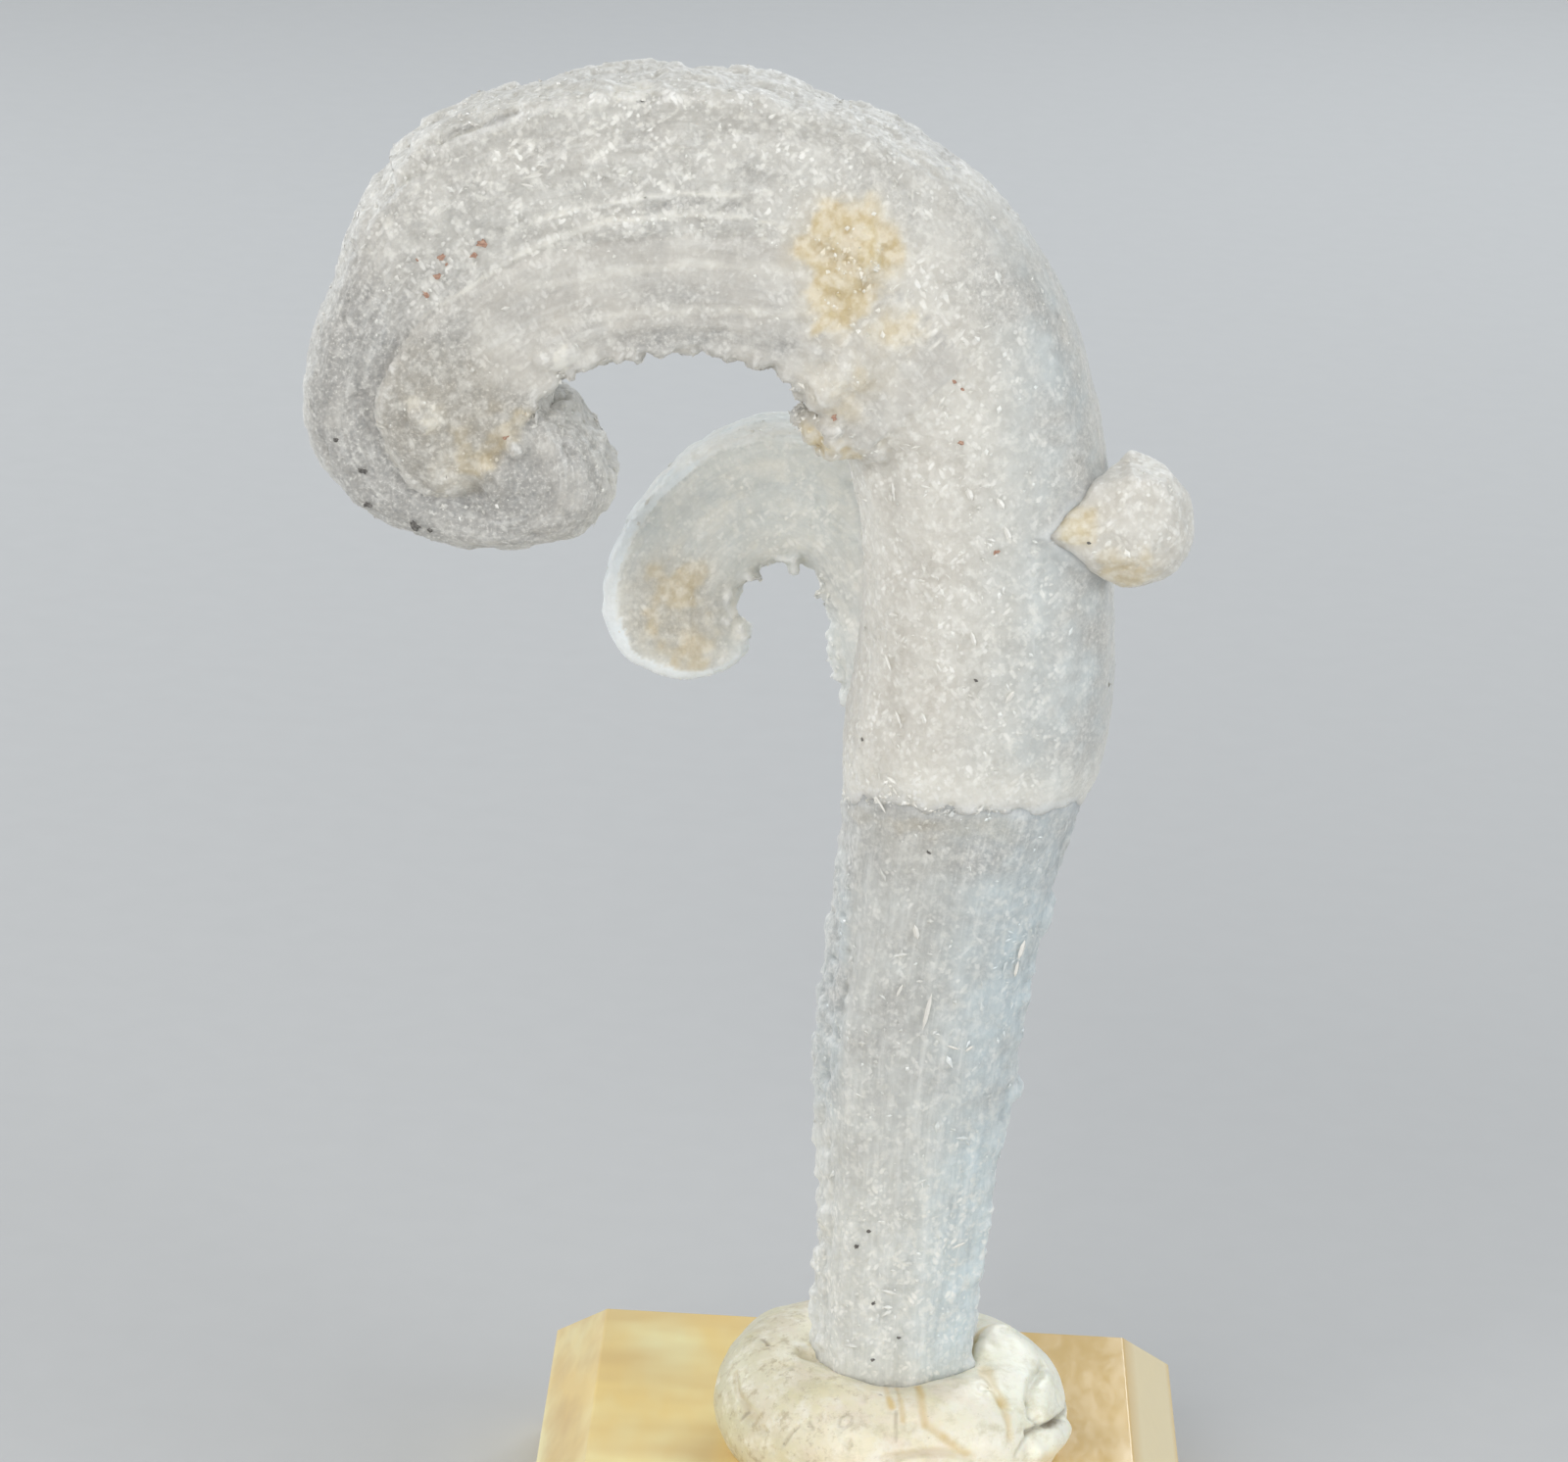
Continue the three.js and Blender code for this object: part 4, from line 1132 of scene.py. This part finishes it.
class Surface:
    """All the skins as one, to set things down on."""

    def __init__(self, skins):
        points, faces = together((skin.points, skin.faces) for skin in skins)
        self.tree = BVHTree.FromPolygons(points.tolist(), faces)

    def front(self, x, z):
        """The point and the normal of the skin that is seen from the front at x, z."""
        place, normal, _, _ = self.tree.ray_cast(Vector((x, -60, z)), Vector((0, 1, 0)))
        if place is None:
            place, normal, _, _ = self.tree.find_nearest(Vector((x, -8, z)))
        return np.array(place), np.array(normal)


def specks(surface, tint):
    """Small grains of dirt or iron oxide, each a dented lump half sunk in the skin."""
    lumps = []
    for index, (name, x, z, size) in enumerate(SPECKS):
        if name == tint:
            radii = (0.6 * size, 0.3 * size, 0.4 * size)
            points, faces = ball((0, 0, 0), radii, 0.75, 80 + index, 2)
            turn = Matrix.Rotation(0.8 * math.sin(7.0 * index), 3, "Y")
            lumps.append((points @ np.array(turn) + surface.front(x, z)[0], faces))
    return mesh_object(tint + "_specks", *together(lumps))


def needle(surface, x0, z0, x1, z1, width):
    """A blade with two four-cornered waists and two tips."""
    first, normal = surface.front(x0, z0)
    first = first + normal * NEEDLE_RISE[0]
    last = surface.front(x1, z1)[0] + normal * NEEDLE_RISE[1]
    axis = unit(last - first)
    side = unit(np.cross(axis, normal)) * width / 2
    up = unit(np.cross(side, axis)) * width * 0.3
    waists = [first + (last - first) * share for share in (0.3, 0.75)]
    points = [at + step for at in waists for step in (side, up, -side, -up)]
    faces = []
    for k in range(4):
        after = (k + 1) % 4
        faces += [[k, after, 4 + after, 4 + k], [8, after, k], [9, 4 + k, 4 + after]]
    return np.array(points + [first, last]), faces


def needles(surface):
    """The single blades that are large enough to pick out."""
    points, faces = together(needle(surface, *row) for row in NEEDLES)
    made = mesh_object("single_blades", points, faces)
    # The single blades are painted paler: their whiteness, partly painted glint.
    write(made.data, "whiteness_and_painted_light", [0.45] * len(points))
    return made


# ---- The putty and the block ----
def putty():
    """A ring pressed round the crystal's foot by hand."""
    rings = 480
    around = 190
    angle = np.repeat(np.linspace(0, 2 * math.pi, rings, endpoint=False), around)
    turn = np.tile(np.linspace(0, 2 * math.pi, around, endpoint=False), rings)
    roll = PUTTY["roll"] * (1 + 0.03 * np.sin(2 * angle + 2.2) + 0.02 * np.sin(5 * angle))
    out = np.stack([np.cos(turn) * np.cos(angle), np.cos(turn) * np.sin(angle), np.sin(turn)], 1)
    ring = PUTTY["ring"] * np.stack([np.cos(angle), np.sin(angle), 0 * angle], 1)
    middle = np.array([PUTTY["x"], 0, BLOCK["height"] + PUTTY["top"] - PUTTY["roll"]])
    even = middle + ring + out * PUTTY["roll"]
    points = middle + ring + out * roll[:, None]
    stand = 0.2 * noise(points, 4.5, 71) + 0.09 * noise(points, 1.9, 72) + 0.03 * noise(points, 0.8, 73)
    stand -= 0.14 * smooth(noise(points, 1.1, 74), 0.6, 0.85)
    for *place, far in SWELLS:
        stand += far * in_spots(points, [(*place, 1.0)])
    patchy = smooth(noise(points, 1.6, 76) + 0.5 * noise(points, 0.6, 77), -0.6, 0.5)
    uneven = 1 + 0.4 * noise(points, 1.2, 75)
    marks = {"ochre": 0, "darkened_lines": 0}
    for depth, width, ochre, darkened_lines, corners in CREASES:
        ragged = width * uneven
        stand -= depth * fade(off_line(points, corners) / ragged, 0.0, 1.0 if depth > 0 else FOLD_WIDTH)
        near = (0.5 + 0.5 * patchy) * fade(off_line(even, corners) / ragged, 0.2, 1.2)
        marks["ochre"] = np.maximum(marks["ochre"], ochre * near)
        marks["darkened_lines"] = np.maximum(marks["darkened_lines"], darkened_lines * near)
    points = points + out * stand[:, None]
    points[:, 2] = np.maximum(points[:, 2], BLOCK["height"] + PUTTY["gap"])
    made = mesh_object("kneaded_putty", points, tube_faces(rings, around, True), True)
    for name, values in marks.items():
        write(made.data, name, values)
    return made


def block():
    """The clear display block, with a chamfer round its top and small rounded edges."""
    half = BLOCK["side"] / 2
    levels = [(half, 0.0), (half, SHOULDER_Z), (half - BLOCK["bevel"], BLOCK["height"])]
    turns = [(-1, -1), (1, -1), (1, 1), (-1, 1)]
    points = [(sx * reach, sy * reach, z) for reach, z in levels for sx, sy in turns]
    made = mesh_object("clear_block", points, tube_faces(3, 4) + [[3, 2, 1, 0], [8, 9, 10, 11]])
    rounding = made.modifiers.new("rounding", "BEVEL")
    rounding.width = BLOCK["edge"] * MM
    rounding.segments = 3
    return made


# ---- Materials ----
class Nodes:
    """A short way to write a node tree, which keeps the tone so far. Sizes are in millimetres."""

    def __init__(self, name):
        self.material = bpy.data.materials.new(name)
        self.material.use_nodes = True
        self.tree = self.material.node_tree
        self.shader = self.tree.nodes["Principled BSDF"]
        self.tone = None

    def add(self, kind, inputs, **settings):
        node = self.tree.nodes.new("ShaderNode" + kind)
        for name, value in settings.items():
            setattr(node, name, value)
        for name, value in inputs.items():
            self.put(node.inputs[name], value)
        return node

    def put(self, socket, value):
        if isinstance(value, bpy.types.NodeSocket):
            self.tree.links.new(value, socket)
        else:
            socket.default_value = (*value, 1.0) if socket.type == "RGBA" else value

    def made(self, **inputs):
        """The material, in the tone so far."""
        for name, value in {"Base_Color": self.tone, **inputs}.items():
            self.put(self.shader.inputs[name.replace("_", " ")], value)
        return self.material

    def mark(self, name, output="Fac"):
        return self.add("Attribute", {}, attribute_name=name).outputs[output]

    def geometry(self, name):
        return self.add("NewGeometry", {}).outputs[name]

    def vector(self, operation, inputs):
        return self.add("VectorMath", inputs, operation=operation).outputs["Vector"]

    def place(self, stretch=(1, 1, 1)):
        """Where the surface is, in millimetres, with each axis shrunk by stretch."""
        scale = tuple(1 / (MM * share) for share in stretch)
        return self.vector("MULTIPLY", {0: self.geometry("Position"), 1: scale})

    def lengthwise(self, stretch):
        """Where the surface is in its straightened bundle, with each axis shrunk by stretch."""
        return self.vector("DIVIDE", {0: self.mark("straight", "Vector"), 1: stretch})

    def leant(self, degrees, stretch):
        """Where the surface is, leant over in the plane of the horn and then shrunk by stretch."""
        inputs = {"Vector": self.place(), "Angle": math.radians(degrees)}
        lean = self.add("VectorRotate", inputs, rotation_type="Y_AXIS")
        return self.vector("DIVIDE", {0: lean.outputs["Vector"], 1: stretch})

    def ragged(self, where, size, far):
        """where, stirred by noise, so that what is drawn with it has uneven edges."""
        stir = self.add("TexNoise", {"Vector": where, "Scale": 1 / size}).outputs["Color"]
        return self.vector("MULTIPLY_ADD", {0: stir, 1: (far, far, far), 2: where})

    def tipped(self, lean, far):
        """The normal, tipped another way in each grain, as far as the number says."""
        centred = self.vector("SUBTRACT", {0: lean, 1: (0.5, 0.5, 0.5)})
        scaled = self.vector("SCALE", {0: centred, "Scale": far})
        added = self.vector("ADD", {0: scaled, 1: self.geometry("Normal")})
        return self.vector("NORMALIZE", {0: added})

    def noise(self, where, size, detail=2.0, rough=0.5):
        inputs = {"Vector": where, "Scale": 1 / size, "Detail": detail, "Roughness": rough}
        return self.add("TexNoise", inputs).outputs["Fac"]

    def grains(self, where, size, share):
        """Grains, of which a share shows: how strongly each does, fading at its edge, and its lean."""
        grain = self.add("TexVoronoi", {"Vector": where, "Scale": 1 / size})
        lean = grain.outputs["Color"]
        drawn = self.add("SeparateColor", {"Color": lean}).outputs["Red"]
        body = self.ramp(grain.outputs["Distance"], 0.6, 0.3)
        return self.times(self.ramp(drawn, 1 - share, 1), body), lean

    def ramp(self, value, low, high, least=0.0, most=1.0):
        inputs = {"Value": value, "From Min": low, "From Max": high, "To Min": least, "To Max": most}
        return self.add("MapRange", inputs).outputs["Result"]

    def math(self, operation, first, second):
        return self.add("Math", {0: first, 1: second}, operation=operation, use_clamp=True).outputs[0]

    def times(self, first, second):
        return self.math("MULTIPLY", first, second)

    def mix(self, share, first, second, blend="MIX"):
        inputs = {"Factor": share, 6: first, 7: second}
        return self.add("Mix", inputs, data_type="RGBA", blend_type=blend).outputs[2]

    def cover(self, share, tint, blend="MIX"):
        """Lays a colour over the tone, as far as share says: a number, a socket or a mark's name."""
        share = self.mark(share) if isinstance(share, str) else share
        self.tone = self.mix(share, self.tone, tint, blend)

    def shade(self, share, tint):
        """Multiplies the tone by a colour, as far as share says."""
        self.cover(share, tint, "MULTIPLY")

    def both_ways(self, value, share, dark, light):
        """Shades the tone where value is low and pales it where it is high, as far as share says.

        dark and light each give the ends of the slope, how far the colour goes, and the colour.
        """
        for blend, (low, high, most, tint) in (("MULTIPLY", dark), ("MIX", light)):
            self.cover(self.times(share, self.ramp(value, low, high, 0, most)), tint, blend)

    def bump(self, height, depth, strength=1.0, **inputs):
        inputs = {"Height": height, "Distance": depth * MM, "Strength": strength, **inputs}
        return self.add("Bump", inputs).outputs["Normal"]


def milky(nodes, place):
    """The crystal's own tones: milky, bluish, glassy or chalky."""
    patches = nodes.ramp(nodes.noise(place, 3.2, 3), 0.35, 0.66)
    nodes.tone = nodes.mix(patches, (0.63, 0.60, 0.545), (0.71, 0.69, 0.64))
    nodes.cover("cool", (0.575, 0.665, 0.70))
    nodes.cover("clear", (0.435, 0.425, 0.405))
    nodes.cover("chalk", (0.80, 0.78, 0.715))


def fibrous(nodes, streaks, share):
    """Broad and fine lines that run with the fibres."""
    dark = (0.48, 0.28, 0.3, (0.78, 0.80, 0.83))
    nodes.both_ways(streaks, share, dark, (0.54, 0.74, 0.4, (0.82, 0.83, 0.81)))
    fine = nodes.noise(nodes.lengthwise((0.24, 0.24, 2.6)), 1.0, 2)
    dark = (0.46, 0.3, 0.2, (0.72, 0.75, 0.80))
    nodes.both_ways(fine, share, dark, (0.58, 0.72, 0.2, (0.86, 0.87, 0.85)))


def gritty(nodes, place):
    """The fine grit of the glassy parts."""
    clearest = nodes.ramp(nodes.mark("clear"), 0.25, 0.95)
    dark = (0.47, 0.3, 0.7, (0.70, 0.72, 0.74))
    grit = nodes.noise(place, 0.28, 2, 0.7)
    nodes.both_ways(grit, clearest, dark, (0.54, 0.72, 0.6, (0.86, 0.85, 0.81)))


def druse(nodes, place, flecked):
    """White flecks in crowds: blades that lean left or right, and small grains, whose lean it gives."""
    soft = nodes.ramp(nodes.noise(place, 0.8, 3, 0.6), 0.52, 0.66, 0, 0.65)
    nodes.cover(nodes.times(soft, flecked), (0.84, 0.83, 0.78))
    left = nodes.ragged(nodes.leant(34, (0.40, 0.46, 0.85)), 0.7, 0.7)
    right = nodes.ragged(nodes.leant(-42, (0.36, 0.46, 0.75)), 0.7, 0.7)
    small, lean = nodes.grains(nodes.ragged(place, 0.4, 0.2), 0.34, 0.3)
    grains = nodes.math("MAXIMUM", nodes.grains(left, 1.0, 0.34)[0], nodes.grains(right, 1.0, 0.3)[0])
    grains = nodes.math("MAXIMUM", grains, small)
    crowds = nodes.ramp(nodes.noise(place, 2.4, 2), 0.38, 0.62, 0.25, 1.0)
    nodes.cover(nodes.times(nodes.times(grains, crowds), flecked), (0.95, 0.94, 0.90))
    return lean


def stained(nodes, place):
    """The tan patches, the dark spots, and the painted light: paler crystals as painted glints, and a
    painted glow on edges, in seams and on the crust.
    """
    sandy = nodes.ramp(nodes.noise(place, 0.8, 3), 0.38, 0.62)
    nodes.cover("stain", nodes.mix(sandy, (0.65, 0.54, 0.33), (0.80, 0.725, 0.57)))
    nodes.cover("dark", (0.10, 0.10, 0.11))
    # Painted light: paler crystals as painted glints, a painted bluish-white glow on the small horn's rim,
    # and painted light in the seams and on the crust.
    nodes.cover("whiteness_and_painted_light", nodes.mix(nodes.mark("cool"), (0.96, 0.95, 0.91), (0.86, 0.93, 0.97)))


def crystal_material(name, gloss, scatter):
    """Milky gypsum, shaded by the marks on its points and by noise that runs with the fibres."""
    nodes = Nodes(name)
    place = nodes.place()
    share = nodes.mark("fibrous")
    flecked = nodes.mark("flecked")
    streaks = nodes.noise(nodes.lengthwise((0.55, 0.55, 7.0)), 1.0, 3, 0.6)
    mottle = nodes.noise(place, 0.9, 3, 0.6)
    milky(nodes, place)
    fibrous(nodes, streaks, share)
    nodes.shade(nodes.ramp(mottle, 0.45, 0.25, 0, 0.2), (0.82, 0.83, 0.85))
    gritty(nodes, place)
    lean = druse(nodes, place, flecked)
    stained(nodes, place)
    height = nodes.math("ADD", nodes.noise(place, 0.35, 2), nodes.times(streaks, share))
    tipped = nodes.tipped(lean, nodes.times(flecked, FACET_TILT))
    return nodes.made(
        Roughness=nodes.ramp(mottle, 0.3, 0.7, gloss, gloss + 0.2),
        IOR=1.52,
        Subsurface_Weight=scatter,
        Subsurface_Radius=(1.0, 0.98, 0.95),
        Subsurface_Scale=3.2 * MM,
        Sheen_Weight=0.3,
        Sheen_Roughness=0.35,
        Normal=nodes.bump(height, 0.1, 0.5, Normal=tipped),
    )


def speck_material(name, dark, light):
    nodes = Nodes(name)
    grain = nodes.ramp(nodes.noise(nodes.place(), 0.2, 2), 0.35, 0.65)
    nodes.tone = nodes.mix(grain, dark, light)
    return nodes.made(Roughness=nodes.ramp(grain, 0, 1, 0.6, 0.8), Normal=nodes.bump(grain, 0.05))


def putty_material():
    """Cream putty, greener on the left, paler on the right, with mottled soiling, lines painted darker along
    some creases, and smeared ochre.
    """
    nodes = Nodes("putty")
    place = nodes.place()
    across = nodes.add("SeparateXYZ", {"Vector": place}).outputs["X"]
    broad = nodes.ramp(nodes.noise(place, 5.0, 3), 0.38, 0.62)
    nodes.tone = nodes.mix(broad, (0.80, 0.74, 0.52), (0.89, 0.83, 0.66))
    pink = nodes.ramp(nodes.noise(nodes.place((1.0, 1.0, 0.8)), 3.2, 4), 0.46, 0.6, 0, 0.6)
    nodes.cover(pink, (0.86, 0.76, 0.66))
    nodes.cover(nodes.ramp(across, -3.0, -12.0, 0, 0.85), (0.56, 0.54, 0.37))
    nodes.cover(nodes.ramp(across, 5.0, 12.0, 0, 0.7), (0.95, 0.98, 0.88))
    nodes.cover(nodes.ramp(nodes.noise(place, 1.7, 5, 0.65), 0.5, 0.66, 0, 0.7), (0.91, 0.88, 0.77))
    dull = nodes.ramp(nodes.noise(nodes.place((1.4, 1.4, 0.7)), 1.5, 5, 0.7), 0.5, 0.66, 0, 0.5)
    nodes.cover(dull, (0.62, 0.58, 0.41))
    dirty = nodes.ramp(across, 4.0, -9.0, 0.15, 0.75)
    mottle = nodes.ramp(nodes.noise(place, 1.1, 5, 0.75), 0.53, 0.65)
    nodes.cover(nodes.times(mottle, dirty), (0.46, 0.39, 0.25))
    nodes.cover(nodes.ramp(nodes.noise(place, 0.45, 2), 0.71, 0.77, 0, 0.55), (0.36, 0.30, 0.22))
    nodes.cover("ochre", (0.71, 0.53, 0.22))
    # Darker along the lines in CREASES, most where they are cut deepest.
    nodes.cover("darkened_lines", (0.28, 0.23, 0.16))
    return nodes.made(
        Roughness=nodes.ramp(broad, 0, 1, 0.32, 0.48),
        Subsurface_Weight=0.25,
        Subsurface_Radius=(1.0, 0.8, 0.5),
        Subsurface_Scale=1.2 * MM,
        Normal=nodes.bump(nodes.noise(place, 0.9, 4, 0.6), 0.14, 0.5),
    )


def block_material():
    """Clear acrylic with a painted honey tone and soft streaks: a painted view of the wood under it, seen
    through it.
    """
    nodes = Nodes("honey_block")
    place = nodes.place((1.0, 2.5, 1.0))
    haze = nodes.ramp(nodes.noise(place, 7.0, 3), 0.35, 0.65)
    fine = nodes.noise(place, 1.2, 4, 0.7)
    # Soft streaks: the painted grain of the wood seen through the block.
    painted_wood_seen_through = nodes.ramp(nodes.noise(nodes.place((14.0, 6.0, 1.6)), 1.0, 2), 0.36, 0.68)
    where = nodes.add("SeparateXYZ", {"Vector": nodes.place()})
    across = where.outputs["X"]
    chamfer = nodes.ramp(where.outputs["Z"], SHOULDER_Z, SHOULDER_Z + 0.4)
    bevel_x = BLOCK["side"] / 2 - BLOCK["bevel"]
    # The honey tone, more orange to the right, is painted: the wood under the block seen through it.
    nodes.tone = nodes.mix(haze, (1.0, 0.76, 0.31), (1.0, 0.92, 0.52))
    nodes.cover(nodes.ramp(across, -14.0, 16.0, 0, 0.9), (0.82, 0.57, 0.235))
    nodes.cover(nodes.times(painted_wood_seen_through, 0.7), (0.80, 0.57, 0.25))
    # Painted light and shade on the chamfer: the right slope is painted paler and the left one darker.
    painted_lit_chamfer = nodes.ramp(across, bevel_x + 0.05, bevel_x + 1.05, 0, 0.6)
    nodes.cover(nodes.times(painted_lit_chamfer, chamfer), (0.99, 0.90, 0.60))
    shaded = nodes.ramp(across, -bevel_x - 0.05, -bevel_x - 1.05)
    nodes.shade(nodes.times(shaded, chamfer), (0.90, 0.87, 0.83))
    return nodes.made(
        Roughness=nodes.ramp(fine, 0.3, 0.7, 0.06, 0.22),
        IOR=1.49,
        Transmission_Weight=0.06,
        Normal=nodes.bump(haze, 0.3, 0.1),
    )


def floor_material():
    nodes = Nodes("floor")
    grain = nodes.noise(nodes.place(), 4.0, 3)
    nodes.tone = nodes.mix(grain, (0.55, 0.555, 0.56), (0.575, 0.58, 0.585))
    return nodes.made(Roughness=nodes.ramp(grain, 0, 1, 0.75, 0.85), Specular_IOR_Level=0.2)


# ---- The studio ----
def camera():
    pitch, yaw, roll = (math.radians(angle) for angle in (PITCH, YAW, ROLL))
    forward = Vector((math.sin(yaw) * math.cos(pitch), math.cos(yaw) * math.cos(pitch), -math.sin(pitch)))
    level = Vector((math.cos(yaw), -math.sin(yaw), 0))
    upright = level.cross(forward)
    right = level * math.cos(roll) + upright * math.sin(roll)
    up = upright * math.cos(roll) - level * math.sin(roll)
    matrix = Matrix((right, up, -forward)).transposed().to_4x4()
    matrix.translation = (Vector(TARGET) - forward * DISTANCE) * MM
    data = bpy.data.cameras.new("camera")
    data.lens = LENS
    made = linked("camera", data)
    made.matrix_world = matrix
    bpy.context.scene.camera = made


def floor():
    corners = [(x, y, 0) for x, y in ((-1, -1), (1, -1), (1, 1), (-1, 1))]
    made = mesh_object("floor", FLOOR_HALF * np.array(corners), [[0, 1, 2, 3]])
    made.data.materials.append(floor_material())


def lamp(name, place, size, watts, tint):
    """A square area light that shines at the middle of the specimen."""
    data = bpy.data.lights.new(name, "AREA")
    data.shape = "SQUARE"
    data.size = size * MM
    data.energy = watts
    data.color = tint
    made = linked(name, data)
    made.location = Vector(place) * MM
    made.rotation_euler = (Vector(LAMPS_AIM) - Vector(place)).to_track_quat("-Z", "Y").to_euler()


def lights():
    for row in LAMPS:
        lamp(*row)
    world = bpy.data.worlds.new("studio")
    world.use_nodes = True
    background = world.node_tree.nodes["Background"]
    background.inputs["Color"].default_value = (0.86, 0.87, 0.88, 1.0)
    background.inputs["Strength"].default_value = 0.4
    bpy.context.scene.world = world
    bpy.context.scene.view_settings.view_transform = "Standard"


def dressed(piece, material, slot, *nodes):
    """Gives a piece its material and its body, and hides the CAD nodes that it stands for. slot is not used.
    """
    piece.data.materials.clear()
    piece.data.materials.append(material)
    if nodes:
        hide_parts(*nodes)
    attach(piece, "root")


def crystals():
    skins = [horn_skin(), stem_skin(), small_horn_skin(), nub_skin()]
    gypsum = crystal_material("gypsum", 0.42, 0.85)
    bright = crystal_material("gypsum_blades", 0.15, 0.0)
    for skin in skins:
        write_tints(skin)
        dressed(skin.object, gypsum, "selenite", "selenite_horns")
    surface = Surface(skins)
    pieces = [scattered(name, skins, **values) for name, values in SCATTERED.items()]
    for piece in pieces + [needles(surface)]:
        dressed(piece, bright, "selenite")
    rust = speck_material("iron_oxide", (0.38, 0.21, 0.15), (0.55, 0.36, 0.27))
    soot = speck_material("dark_dirt", (0.08, 0.076, 0.072), (0.22, 0.21, 0.195))
    dressed(specks(surface, "rust"), rust, "selenite")
    dressed(specks(surface, "soot"), soot, "selenite")


camera()
floor()
lights()
crystals()
dressed(putty(), putty_material(), "putty", "putty")
dressed(block(), block_material(), "block", "block")
